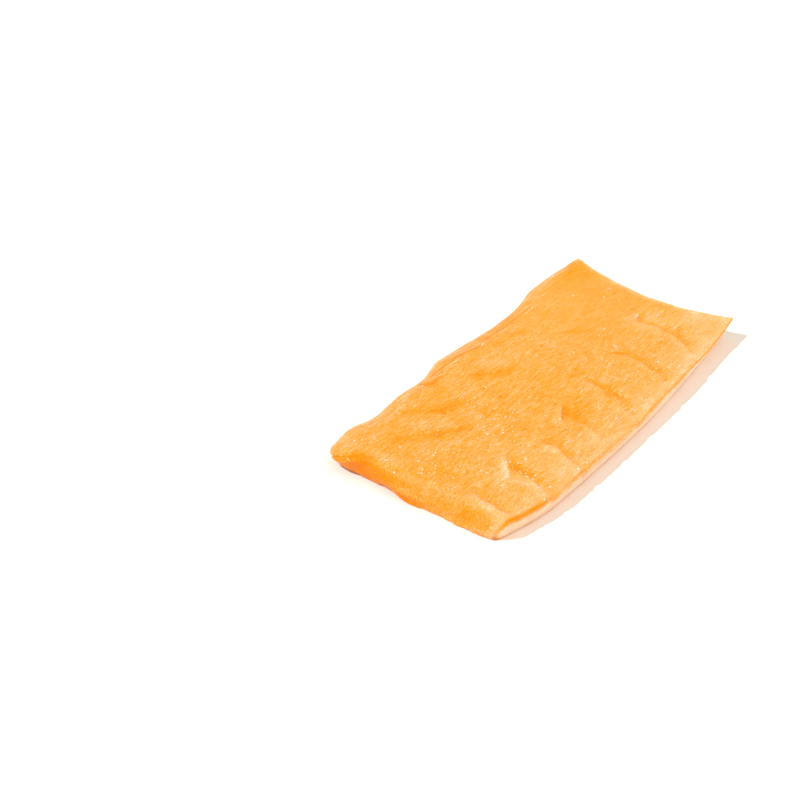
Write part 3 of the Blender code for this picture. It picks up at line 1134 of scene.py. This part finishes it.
@dataclass(frozen=True)
class FleshFinish:
    """Wet translucent flesh: deep orange to pale, with fibres, clouds and specks.

    Attributes:
        name: Name of the material.
        tones: Colour of the flesh at even steps from the deepest tone to the palest.
        roughness: Roughness of the wet skin, more and less by half the spread.
        ior: Refractive index of the wet skin.
        specular: Strength of its reflections.
        subsurface: Share of the light that goes into the flesh.
        subsurface_radius: How far red, green and blue go, as shares of the depth.
        subsurface_depth: How deep the light goes, in metres.
        fibre_size: Size of the fibres along their own axes; speck, cloud and strand sizes too.
        fibre_turn: Angle of the fibres from +X, in degrees; the strands' too.
        fibre_tone: How much the fibres change the tone; the specks, clouds and strands too.
        speck_bump: Height of the specks, as a share of the fibres'.
        bump_depth: Height of the fibres and the strands, in metres.
    """

    name: str = "salmon_flesh_wet"
    tones: tuple[Colour, ...] = (
        (0.80, 0.225, 0.001),
        (0.88, 0.280, 0.006),
        (0.92, 0.332, 0.050),
        (0.94, 0.412, 0.150),
        (0.98, 0.660, 0.460),
    )
    roughness: float = 0.36
    roughness_spread: float = 0.30
    ior: float = 1.38
    specular: float = 0.18
    subsurface: float = 0.5
    subsurface_radius: Colour = (1.0, 0.45, 0.2)
    subsurface_depth: float = 2.4 * MM
    fibre_size: Size = (2.0 * MM, 0.30 * MM, 0.5 * MM)
    fibre_turn: float = -6.0
    fibre_tone: float = 2.2
    speck_size: float = 0.34 * MM
    speck_tone: float = 2.1
    cloud_size: float = 3.5 * MM
    cloud_tone: float = 0.6
    speck_bump: float = 0.5
    bump_depth: float = 0.07 * MM
    strand_size: Size = (6.0 * MM, 0.28 * MM, 0.5 * MM)
    strand_turn: float = -4.0
    strand_tone: float = 2.6

    def material(self) -> bpy.types.Material:
        """Builds the material.

        Returns:
            The material, which reads each point's tone and how near the rim it is.
        """
        graph = Graph(
            self.name,
            IOR=self.ior,
            Specular_IOR_Level=self.specular,
            Subsurface_Weight=self.subsurface,
            Subsurface_Radius=self.subsurface_radius,
            Subsurface_Scale=self.subsurface_depth,
        )
        fibrous = graph.trait(Trait.FIBROUS)
        fibres = graph.lumps(self.fibre_size, self.fibre_turn, detail=3.0)
        fibres = graph.math(Sum.MULTIPLY, fibres, fibrous)
        specks = graph.lumps((self.speck_size,) * 3, turn=0.0, detail=1.0)
        specks = graph.math(Sum.MULTIPLY, specks, fibrous)
        clouds = graph.lumps((self.cloud_size,) * 3, turn=0.0, detail=3.0)
        strands = graph.lumps(self.strand_size, self.strand_turn, detail=1.0)
        strands = graph.math(Sum.MULTIPLY, strands, graph.trait(Trait.BY_RIM))
        layers = (
            (fibres, self.fibre_tone),
            (specks, self.speck_tone),
            (clouds, self.cloud_tone),
            (strands, self.strand_tone),
        )
        tone = graph.trait(Trait.TONE)
        for layer, amount in layers:
            tone = graph.math(Sum.MULTIPLY_ADD, layer, amount, tone)
        graph.colour(self.ramp(graph, tone))
        graph.gloss(graph.math(Sum.MULTIPLY_ADD, clouds, self.roughness_spread, self.roughness))
        rise = graph.math(Sum.MULTIPLY_ADD, specks, self.speck_bump, fibres)
        graph.bump(graph.math(Sum.ADD, rise, strands), self.bump_depth)
        return graph.material

    def ramp(self, graph: Graph, tone: bpy.types.NodeSocket) -> bpy.types.NodeSocket:
        """Colours of the flesh from the deepest tone, -1, to the palest, 1.

        Args:
            graph: The material's nodes.
            tone: The tone.

        Returns:
            The colour.
        """
        made = graph.node("ShaderNodeValToRGB")
        stops = made.color_ramp.elements
        while len(stops) < len(self.tones):
            stops.new(0.5)
        for number, (stop, colour) in enumerate(zip(stops, self.tones)):
            stop.position = number / (len(self.tones) - 1)
            stop.color = (*colour, 1.0)
        graph.join(graph.math(Sum.MULTIPLY_ADD, tone, 0.5, 0.5), made.inputs["Fac"])
        return made.outputs["Color"]


@dataclass(frozen=True)
class ShredFinish:
    """Thin torn flesh, paler and more translucent than the slice."""

    name: str = "torn_shred"
    colour: Colour = (0.96, 0.55, 0.31)
    deep_colour: Colour = (0.94, 0.46, 0.19)
    deep_share: float = 0.4
    contrast: float = 2.0
    roughness: float = 0.40
    ior: float = 1.38
    subsurface: float = 0.6
    subsurface_radius: Colour = (1.0, 0.5, 0.3)
    subsurface_depth: float = 1.2 * MM
    fibre_size: Size = (2.0 * MM, 0.3 * MM, 0.5 * MM)
    fibre_turn: float = 40.0
    bump_depth: float = 0.05 * MM

    def material(self) -> bpy.types.Material:
        """Builds the material.

        Returns:
            The material, deeper in colour along its fibres.
        """
        graph = Graph(
            self.name,
            Roughness=self.roughness,
            IOR=self.ior,
            Subsurface_Weight=self.subsurface,
            Subsurface_Radius=self.subsurface_radius,
            Subsurface_Scale=self.subsurface_depth,
        )
        fibres = graph.lumps(self.fibre_size, self.fibre_turn, detail=2.0)
        mix = graph.node("ShaderNodeMix", data_type="RGBA")
        mix.inputs["A"].default_value = (*self.colour, 1.0)
        mix.inputs["B"].default_value = (*self.deep_colour, 1.0)
        deep = graph.math(Sum.MULTIPLY_ADD, fibres, self.contrast, self.deep_share)
        graph.join(deep, mix.inputs["Factor"])
        graph.colour(next(slot for slot in mix.outputs if slot.type == "RGBA" and slot.enabled))
        graph.bump(fibres, self.bump_depth)
        return graph.material


@dataclass(frozen=True)
class MoistureGlintFinish:
    """Pale beads of moisture and fat: their near-white colour is a painted highlight, standing for
    glints of the light on the wet flesh.
    """

    name: str = "moisture"
    # Near-white painted highlight: the beads' colour stands for glints of the light on wet flesh.
    colour: Colour = (1.0, 0.93, 0.84)
    ior: float = 1.34
    roughness: float = 0.12
    spread: float = 0.12
    patch_size: float = 0.6 * MM

    def material(self) -> bpy.types.Material:
        """Builds the material.

        Returns:
            The material, a little rougher on some beads than on others.
        """
        graph = Graph(self.name, Base_Color=(*self.colour, 1.0), IOR=self.ior)
        patches = graph.lumps((self.patch_size,) * 3, turn=0.0, detail=1.0)
        graph.gloss(graph.math(Sum.MULTIPLY_ADD, patches, self.spread, self.roughness))
        return graph.material


@dataclass
class SalmonSlice:
    """The slice itself, on a grid four times as fine as its solid's.

    Attributes:
        outline: Plan of the slice.
        flakes: Its seams and torn edges.
        shift: From the plan's middle to the frame's origin, which build works out.
    """

    outline: SliceOutline = field(default_factory=SliceOutline)
    flakes: FlakeRelief = field(default_factory=FlakeRelief)
    edge_round: float = 1.1 * MM
    near_corners: tuple[tuple[int, float], ...] = ((1, 4.2 * MM), (-1, 2.2 * MM))
    far_sharpness: float = 0.8
    grid: float = 0.28 * MM
    wall_grid: float = 0.42 * MM
    arc_steps: int = 8
    undercut: float = 1.6 * MM
    far_undercut: float = 2.0 * MM
    undercut_start: float = 5.0 * MM
    undercut_span: float = 38.0 * MM
    undercut_curve: float = 1.2
    rim_slope: float = 4.0 * MM
    rim_tuck: float = 1.2 * MM
    nose_height: float = 0.42
    relief_floor: float = 0.25
    notch_floor: float = 0.5
    under_share: float = 0.5
    under_reach: float = 0.2
    foot_fill: float = 0.8
    rim_reach: float = 2.5 * MM
    strands_start: float = -34.0 * MM
    strands_fade: float = 7.0 * MM
    lip_ragged: tuple[Grain, ...] = (
        Grain(11, 1.6 * MM, 4.0 * MM, 0.14 * MM),
        Grain(12, 0.7 * MM, 2.0 * MM, 0.07 * MM),
    )
    rim_ragged: tuple[Grain, ...] = (
        Grain(13, 4.0 * MM, 0.8 * MM, 0.16 * MM),
        Grain(14, 1.2 * MM, 0.6 * MM, 0.07 * MM),
    )
    near_ragged: tuple[Grain, ...] = (
        Grain(15, 3.4 * MM, 2.2 * MM, 0.28 * MM),
        Grain(16, 1.3 * MM, 1.1 * MM, 0.12 * MM),
    )
    far_ragged: tuple[Grain, ...] = (
        Grain(17, 2.6 * MM, 1.8 * MM, 0.14 * MM),
        Grain(18, 0.8 * MM, 0.9 * MM, 0.08 * MM),
    )
    shift: Field = field(default_factory=lambda: np.zeros(3))

    def __post_init__(self) -> None:
        """Prepares the upper face and the tone of the flesh, and the half sizes of the block."""
        self.face = UpperFace(self.outline, self.flakes)
        self.tone = FleshTone(self.outline, self.flakes)
        self.halves = np.array(
            [self.outline.half_length, self.outline.half_width, self.face.thickness / 2]
        )

    def stations(self, half: float, spacing: float) -> Field:
        """Cut positions across the block, closer over its rounded edges.

        Args:
            half: Half the size of the block that way.
            spacing: Distance between cuts on the flat.

        Returns:
            Positions from low to high.
        """
        inner = half - self.edge_round
        angles = np.arange(1, self.arc_steps + 1) * math.pi / 4 / self.arc_steps
        arc = inner + self.edge_round * np.tan(angles)
        count = max(1, round(2 * inner / spacing))
        return np.concatenate([-arc[::-1], np.linspace(-inner, inner, count + 1), arc])

    def rounded(self, points: Field) -> Field:
        """Draws the block's edges and corners onto an arc.

        Args:
            points: Points of the block.

        Returns:
            Points of the rounded block.
        """
        inner = self.halves - self.edge_round
        core = np.clip(points, -inner, inner)
        offset = points - core
        length = np.linalg.norm(offset, axis=1, keepdims=True)
        return core + offset * self.edge_round / length

    def sharpen_corners(self, x: Field, y: Field) -> tuple[Field, Field]:
        """Draws the two far corners in plan out of their arcs.

        Args:
            x: X of the points.
            y: Y of the points.

        Returns:
            The drawn X and Y.
        """
        deep_x = np.maximum(0.0, x - (self.halves[0] - self.edge_round))
        deep_y = np.maximum(0.0, np.abs(y) - (self.halves[1] - self.edge_round))
        deepest = np.maximum(np.maximum(deep_x, deep_y), TINY)
        push = self.far_sharpness * (np.hypot(deep_x, deep_y) / deepest - 1.0)
        inside = (deep_x > 0) & (deep_y > 0)
        return x + inside * deep_x * push, y + inside * np.sign(y) * deep_y * push

    def round_corners(self, x: Field, y: Field) -> tuple[Field, Field]:
        """Draws the two near corners in plan onto arcs.

        Args:
            x: X of the points.
            y: Y of the points.

        Returns:
            The drawn X and Y.
        """
        for sign, radius in self.near_corners:
            deep_x = np.maximum(0.0, -x - (self.halves[0] - radius))
            deep_y = np.maximum(0.0, sign * y - (self.halves[1] - radius))
            length = np.hypot(deep_x, deep_y)
            deepest = np.maximum(deep_x, deep_y)
            pull = np.where(length > 0, deepest / np.maximum(length, TINY), 1.0)
            x = x + deep_x * (1.0 - pull)
            y = y - sign * deep_y * (1.0 - pull)
        return x, y

    def slant(self, x: Field, across: Field, height: Field, level: Field) -> Field:
        """How far the slanting cut shifts a point to +Y.

        Args:
            x: X of the points.
            across: Place across the block, -1 at the lip and 1 at the rim.
            height: Share of the height, 0 at the foot.
            level: Share of the full thickness, 0 at the foot.

        Returns:
            The shift.
        """
        above = np.clip((1.0 - height) / (1.0 - self.nose_height), 0.0, 1.0)
        below = np.clip((self.nose_height - height) / self.nose_height, 0.0, 1.0)
        bevel = (self.rim_slope - self.outline.rim_narrowing(x)) * np.sin(math.pi / 2 * above)
        at_rim = bevel - self.rim_tuck * below**2
        far = np.clip((x - self.undercut_start) / self.undercut_span, 0.0, 1.0)
        undercut = self.undercut + self.far_undercut * far**self.undercut_curve
        at_lip = undercut * (1.0 - level)
        return at_lip + (at_rim - at_lip) * (across + 1.0) / 2.0

    def plan(self, block: Field, fine: bool) -> PlanPoints:
        """Moves the block's points to their places in plan.

        Args:
            block: Points of the block.
            fine: Whether the edges are ragged, as the flesh's are and the solid's aren't.

        Returns:
            The places of the points.
        """
        points = self.rounded(block)
        z = points[:, 2]
        height = z / self.face.thickness + 0.5
        x, y = self.sharpen_corners(points[:, 0], points[:, 1])
        x, y = self.round_corners(x, y)
        along = x / self.halves[0]
        across = y / self.halves[1]
        ways = (
            (self.lip_ragged, x),
            (self.rim_ragged, x),
            (self.near_ragged, y),
            (self.far_ragged, y),
        )
        rough_lip, rough_rim, rough_near, rough_far = (
            sum(grain.at(way, z) for grain in grains) if fine else 0.0 for grains, way in ways
        )
        near = self.outline.near(y, height) + rough_near
        far = self.outline.far(y) + rough_far
        plan_x = near + (far - near) * (along + 1.0) / 2.0
        at_edge = smooth((height - self.notch_floor) / (1.0 - self.notch_floor))
        nicks = self.outline.notches(x, self.flakes.seams) * (1.0 - across) / 2.0
        lip = self.outline.lip(x) + at_edge * (nicks + rough_lip)
        rim = self.outline.rim(x) + rough_rim
        plan_y = lip + (rim - lip) * (across + 1.0) / 2.0
        level = height * self.face.level(plan_x, plan_y)
        shifted = plan_y + self.slant(x, across, height, level / self.face.thickness)
        return PlanPoints(plan_x, plan_y, shifted, along, across, height, level)

    def shape(self, plan: PlanPoints) -> Field:
        """Raises the points to the slice's faces, with its foot on Z = 0.

        Args:
            plan: The places of the points.

        Returns:
            The points of the slice.
        """
        steps = self.flakes.steps(plan.x, plan.y, self.outline)
        grain = self.face.grain(plan.x, plan.y)
        relief = self.face.relief(plan.x, plan.y, steps) + grain
        hollow = np.maximum(0.0, -self.under_share * steps) + np.maximum(0.0, grain)
        under = (1.0 - smooth(plan.height / self.under_reach)) * hollow
        on_top = smooth((plan.height - self.relief_floor) / (1.0 - self.relief_floor))
        top = plan.level + self.face.lift(plan.x, plan.y) + on_top * relief + under
        low = np.clip(1.0 - plan.height * self.face.thickness / self.edge_round, 0.0, 1.0)
        fill = self.foot_fill * self.edge_round * (1.0 - np.sqrt(1.0 - low**2)) / 2.0
        x = plan.x - fill * (1.0 - plan.along)
        y = plan.shifted - fill * (1.0 - plan.across)
        return np.column_stack([x, y, top])

    def build(self) -> bpy.types.Object:
        """Builds the mesh where the solid lies.

        Returns:
            The slice, with the tone of the flesh stored at each point.
        """
        spacings = (self.grid, self.grid, self.wall_grid)
        cuts = [self.stations(half, spacing) for half, spacing in zip(self.halves, spacings)]
        block, squares = block_skin(cuts)
        plain = self.plan(block, fine=False)
        lowest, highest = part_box(SLICE_NODE)
        for axis, places in enumerate((plain.x, plain.shifted)):
            middle = (places.min() + places.max()) / 2
            self.shift[axis] = (lowest[axis] + highest[axis]) / 2 - middle
        plan = self.plan(block, fine=True)
        points = self.shape(plan)
        made = mesh_object("salmon_flesh_slice", points + self.shift, squares.tolist())
        x, y = points[:, 0], points[:, 1]
        past_nose = smooth((x - self.strands_start) / self.strands_fade)
        from_rim = self.outline.rim(x) - y
        # The stored tone holds painted light and shade as well as the flesh's own colour.
        add_trait(made, Trait.TONE, self.tone.at(plan))
        add_trait(made, Trait.BY_RIM, past_nose * (1.0 - smooth(from_rim / self.rim_reach)))
        add_trait(made, Trait.FIBROUS, self.tone.fibrous(x, y))
        return made

    def dress(self, piece: bpy.types.Object) -> None:
        """Gives the slice its flesh and lets it stand for the solid.

        Args:
            piece: The slice's mesh object.
        """
        piece.data.materials.append(FleshFinish().material())
        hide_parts(SLICE_NODE)
        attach(piece, BODY)


@dataclass(frozen=True)
class Shred:
    """Thin shred of flesh, held along one side and lifted along the other.

    Attributes:
        held: Middle of the held side, in plan millimetres.
        heading: Direction of the held side from +X, in degrees.
        length: Length of the held side, in millimetres.
        reach: Distance from the held side to the free one, in millimetres.
        rise: How far the free side stands off, in millimetres.
    """

    held: Place
    heading: float
    length: float
    reach: float
    rise: float


@dataclass
class TornFlakes:
    """Shreds of flesh at the seams' inner ends, as one piece."""

    shreds: tuple[Shred, ...] = (
        Shred((18.9, -4.0), 245.0, 1.6, 0.6, 0.12),
        Shred((31.6, -1.2), 200.0, 2.0, 0.6, 0.07),
    )
    thick: float = 0.14 * MM
    thin: float = 0.07 * MM
    sink: float = 0.15 * MM
    ragged: Grain = Grain(91, 0.7 * MM, 0.7 * MM, 0.22)
    columns: int = 26
    rows: int = 9
    taper_curve: float = 2.4
    least_taper: float = 0.02
    lift_curve: float = 1.3
    ray_start: float = 50.0 * MM

    def shred_skin(self, shred: Shred, tree: BVHTree, shift: Field) -> tuple[Field, Field]:
        """Points and squares of one shred.

        Args:
            shred: The shred.
            tree: The slice's surface, which the shred grows from.
            shift: From the plan's middle to the frame's origin.

        Returns:
            Its points and its squares.
        """
        sides = (np.linspace(-1.0, 1.0, self.columns), np.linspace(0.0, 1.0, self.rows))
        block, squares = block_skin([*sides, np.array([0.0, 1.0])])
        along, out, layer = block.T
        angle = math.radians(shred.heading)
        heading = np.array([math.cos(angle), math.sin(angle)])
        side = np.array([-heading[1], heading[0]])
        taper = np.sqrt(np.clip(1.0 - np.abs(along) ** self.taper_curve, self.least_taper, 1.0))
        wander = 1.0 + self.ragged.at(along * shred.length * MM / 2, out * MM)
        reach = shred.reach * MM * taper * wander * out
        run = along * shred.length * MM / 2
        plan = np.array(shred.held) * MM + run[:, None] * heading + reach[:, None] * side
        plan = plan + shift[:2]
        ground = np.array([self.ground(tree, place) for place in plan])
        held_plan = plan - reach[:, None] * side
        held_ground = np.array([self.ground(tree, place) for place in held_plan])
        base = held_ground * (1.0 - out) + np.maximum(ground, held_ground) * out
        lifted = base + shred.rise * MM * taper * out**self.lift_curve - self.sink * (1.0 - out) ** 2
        thickness = self.thick + (self.thin - self.thick) * out
        height = lifted + (layer - 0.5) * thickness
        return np.column_stack([plan, height]), squares

    def ground(self, tree: BVHTree, place: Field) -> float:
        """Height of the slice's upper face at a place in plan.

        Args:
            tree: The slice's surface.
            place: X and Y of the place.

        Returns:
            Height there, or 0 beside the slice.
        """
        above = Vector((place[0], place[1], self.ray_start))
        hit = tree.ray_cast(above, Vector((0.0, 0.0, -1.0)))[0]
        return 0.0 if hit is None else hit.z

    def build(self, flesh: bpy.types.Object, shift: Field) -> bpy.types.Object:
        """Builds the shreds on the slice.

        Args:
            flesh: The slice.
            shift: From the plan's middle to the frame's origin.

        Returns:
            The shreds as one object.
        """
        tree = BVHTree.FromObject(flesh, bpy.context.evaluated_depsgraph_get())
        points = []
        squares = []
        for shred in self.shreds:
            skin, faces = self.shred_skin(shred, tree, shift)
            squares.append(faces + len(points) * len(skin))
            points.append(skin)
        return mesh_object("torn_flakes", np.concatenate(points), np.concatenate(squares).tolist())

    def dress(self, piece: bpy.types.Object) -> None:
        """Gives the shreds their finish and lets them ride with the slice.

        Args:
            piece: The shreds' mesh object.
        """
        piece.data.materials.append(ShredFinish().material())
        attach(piece, BODY)


@dataclass
class MoistureBeads:
    """Tiny beads of moisture, painted near-white as glints, scattered over the upper face, as one
    piece.
    """

    count: int = 250
    seed: int = 7
    smallest: float = 0.08 * MM
    largest: float = 0.18 * MM
    flatness: float = 0.6
    sunk: float = 0.3
    rings: int = 5
    sides: int = 9
    upright: float = 0.8
    size_curve: int = 3
    sparse: float = 0.12
    belt_middle: float = 1.0 * MM
    belt_width: float = 6.5 * MM
    belt_end: float = -6.0 * MM
    belt_fade: float = 14.0 * MM
    clusters: tuple[Stroke, ...] = (
        Stroke((-25.8, -10.0), (-26.6, -14.8), 1.3, 4.0),
        Stroke((13.0, -7.0), (17.0, -4.5), 1.8, 1.0),
        Stroke((-40.0, 16.5), (-37.0, 17.5), 1.5, 1.6),
        Stroke((-18.0, -9.8), (-14.0, -10.2), 1.5, 0.5),
        Stroke((-29.0, -18.2), (-28.4, -18.6), 0.5, 8.0),
        Stroke((-40.5, -9.0), (-39.5, -10.5), 0.8, 4.0),
    )

    def weights(self, points: Field) -> Field:
        """How likely a bead is at each point of the upper face.

        Args:
            points: Points in the plan's own measure.

        Returns:
            Chances that add up to 1.
        """
        x, y = points[:, 0], points[:, 1]
        belt = bell(y - self.belt_middle, self.belt_width)
        near = smooth((self.belt_end - x) / self.belt_fade)
        chance = self.sparse + belt * near + total(self.clusters, x, y)
        return chance / chance.sum()

    def bead(self, radius: float, normal: Vector) -> Field:
        """Points of one bead round its own middle.

        Args:
            radius: Radius of the bead.
            normal: Direction in which it bulges.

        Returns:
            Its points: the crown first, then the rings, then the base.
        """
        turn = normal.to_track_quat("Z", "Y").to_matrix()
        places = [Vector((0.0, 0.0, radius * self.flatness))]
        for ring in range(1, self.rings):
            angle = math.pi * ring / self.rings
            for number in range(self.sides):
                around = 2 * math.pi * number / self.sides
                flat = radius * math.sin(angle)
                rise = radius * self.flatness * math.cos(angle)
                places.append(Vector((flat * math.cos(around), flat * math.sin(around), rise)))
        places.append(Vector((0.0, 0.0, -radius * self.flatness)))
        return np.array([turn @ place for place in places])

    def bead_faces(self) -> list[tuple[int, ...]]:
        """Faces of one bead.

        Returns:
            Point numbers of each face, which faces out.
        """
        last = 1 + (self.rings - 1) * self.sides
        faces: list[tuple[int, ...]] = []
        for number in range(self.sides):
            after = (number + 1) % self.sides
            faces.append((0, 1 + number, 1 + after))
            for ring in range(self.rings - 2):
                upper = 1 + ring * self.sides
                lower = upper + self.sides
                faces.append((upper + number, lower + number, lower + after, upper + after))
            lowest = last - self.sides
            faces.append((last, lowest + after, lowest + number))
        return faces

    def build(self, flesh: bpy.types.Object, salmon: SalmonSlice) -> bpy.types.Object:
        """Scatters the beads over the slice.

        Args:
            flesh: The slice's mesh object.
            salmon: The slice's sizes.

        Returns:
            The beads as one object.
        """
        draw = np.random.default_rng(self.seed)
        vertices = flesh.data.vertices
        places = np.array([vertex.co for vertex in vertices])
        upright = np.array([vertex.normal.z for vertex in vertices]) > self.upright
        upper = np.flatnonzero(upright & (places[:, 2] > salmon.face.thickness / 2))
        chances = self.weights(places[upper] - salmon.shift)
        chosen = draw.choice(upper, self.count, replace=False, p=chances)
        beads = []
        for number in chosen:
            radius = draw.random() ** self.size_curve
            radius = self.smallest + (self.largest - self.smallest) * radius
            vertex = vertices[int(number)]
            middle = vertex.co + vertex.normal * radius * self.flatness * (1.0 - 2.0 * self.sunk)
            beads.append(self.bead(radius, vertex.normal) + np.array(middle))
        faces = [
            tuple(start * len(beads[0]) + corner for corner in face)
            for start in range(self.count)
            for face in self.bead_faces()
        ]
        return mesh_object("moisture_glint_beads", np.concatenate(beads), faces)

    def dress(self, piece: bpy.types.Object) -> None:
        """Gives the beads their finish and lets them ride with the slice."""
        piece.data.materials.append(MoistureGlintFinish().material())
        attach(piece, BODY)


@dataclass(frozen=True)
class Lamp:
    """One lamp of the studio, so far off that its light travels one way.

    Attributes:
        name: Name of the lamp.
        heading: Direction over the floor in which its light travels.
        elevation: Height of the lamp over the floor, in degrees.
        colour: Colour of its light.
        strength: Strength of its light.
        angle: How wide the lamp looks, in degrees.
    """

    name: str
    heading: Direction
    elevation: float
    colour: Colour
    strength: float
    angle: float

    def build(self) -> None:
        """Adds the lamp."""
        elevation = math.radians(self.elevation)
        level = math.cos(elevation)
        travel = Vector((self.heading[0] * level, self.heading[1] * level, -math.sin(elevation)))
        light = bpy.data.lights.new(self.name, "SUN")
        light.color = self.colour
        light.energy = self.strength
        light.angle = math.radians(self.angle)
        made = bpy.data.objects.new(self.name, light)
        made.location = -travel.normalized()
        made.rotation_mode = "QUATERNION"
        made.rotation_quaternion = travel.to_track_quat("-Z", "Y")
        bpy.context.scene.collection.objects.link(made)


@dataclass(frozen=True)
class Studio:
    """Pale floor, soft light and the camera at the photograph's angle.

    Attributes:
        azimuth: Direction of the camera round the slice, in degrees.
        elevation: Its height over the floor, in degrees.
        distance: From the camera to the point that it looks at.
        target: The point on the floor at the middle of the picture.
        scale: Picture points to a metre at the target.
        lamps: The main light, and the broad warm light beside the lip.
    """

    azimuth: float = -53.6
    elevation: float = 34.98
    distance: float = 450.0 * MM
    target: tuple[float, float, float] = (-15.871 * MM, 22.076 * MM, 0.0)
    scale: float = 5.15 / MM
    sensor: float = 36.0
    clip_start: float = 10.0 * MM
    floor_size: float = 6.0
    floor_colour: Colour = (0.90, 0.895, 0.89)
    floor_roughness: float = 0.9
    floor_specular: float = 0.1
    lamps: tuple[Lamp, ...] = (
        Lamp("main_light", (0.835, -0.55), 54.0, (1.0, 0.98, 0.98), 2.25, 1.5),
        Lamp("fill_light", (-0.3, 0.95), 40.0, (1.0, 0.86, 0.66), 1.05, 50.0),
    )
    sky_colour: Colour = (1.0, 0.955, 0.90)
    sky_strength: float = 0.68

    def camera(self) -> None:
        """Adds the camera that the picture is taken with."""
        azimuth, elevation = math.radians(self.azimuth), math.radians(self.elevation)
        level = math.cos(elevation)
        back = Vector((math.sin(azimuth) * level, -math.cos(azimuth) * level, math.sin(elevation)))
        lens = bpy.data.cameras.new("camera")
        lens.sensor_width = self.sensor
        lens.lens = self.sensor * self.distance * self.scale / PICTURE_SIDE
        lens.clip_start = self.clip_start
        made = bpy.data.objects.new("camera", lens)
        made.location = Vector(self.target) + back * self.distance
        made.rotation_mode = "QUATERNION"
        made.rotation_quaternion = (-back).to_track_quat("-Z", "Y")
        bpy.context.scene.collection.objects.link(made)
        bpy.context.scene.camera = made

    def sky(self) -> None:
        """Adds the light all round."""
        world = bpy.data.worlds.new("soft_light")
        world.use_nodes = True
        sky = world.node_tree.nodes["Background"]
        sky.inputs["Color"].default_value = (*self.sky_colour, 1.0)
        sky.inputs["Strength"].default_value = self.sky_strength
        bpy.context.scene.world = world

    def floor(self) -> None:
        """Lays the pale floor."""
        corners = np.array([(-1.0, -1.0, 0.0), (1.0, -1.0, 0.0), (1.0, 1.0, 0.0), (-1.0, 1.0, 0.0)])
        made = mesh_object("floor", corners * self.floor_size / 2, [(0, 1, 2, 3)])
        graph = Graph(
            "floor",
            Base_Color=(*self.floor_colour, 1.0),
            Roughness=self.floor_roughness,
            Specular_IOR_Level=self.floor_specular,
        )
        made.data.materials.append(graph.material)

    def build(self) -> None:
        """Sets up the whole studio."""
        self.camera()
        for lamp in self.lamps:
            lamp.build()
        self.sky()
        self.floor()
        bpy.context.scene.view_settings.view_transform = "Standard"


def report(piece: bpy.types.Object) -> None:
    """Logs what one piece is made of."""
    LOG.info("%s: %d points, %d faces", piece.name, len(piece.data.vertices), len(piece.data.polygons))


def main() -> None:
    """Builds the slice, its shreds and its beads, and the studio round them."""
    logging.basicConfig(level=logging.INFO, format="%(name)s: %(message)s")
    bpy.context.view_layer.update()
    Studio().build()

    salmon = SalmonSlice()
    flesh = salmon.build()
    salmon.dress(flesh)
    report(flesh)

    torn = TornFlakes()
    shreds = torn.build(flesh, salmon.shift)
    torn.dress(shreds)
    report(shreds)

    moisture = MoistureBeads()
    beads = moisture.build(flesh, salmon)
    moisture.dress(beads)
    report(beads)


if __name__ == "__main__":
    main()
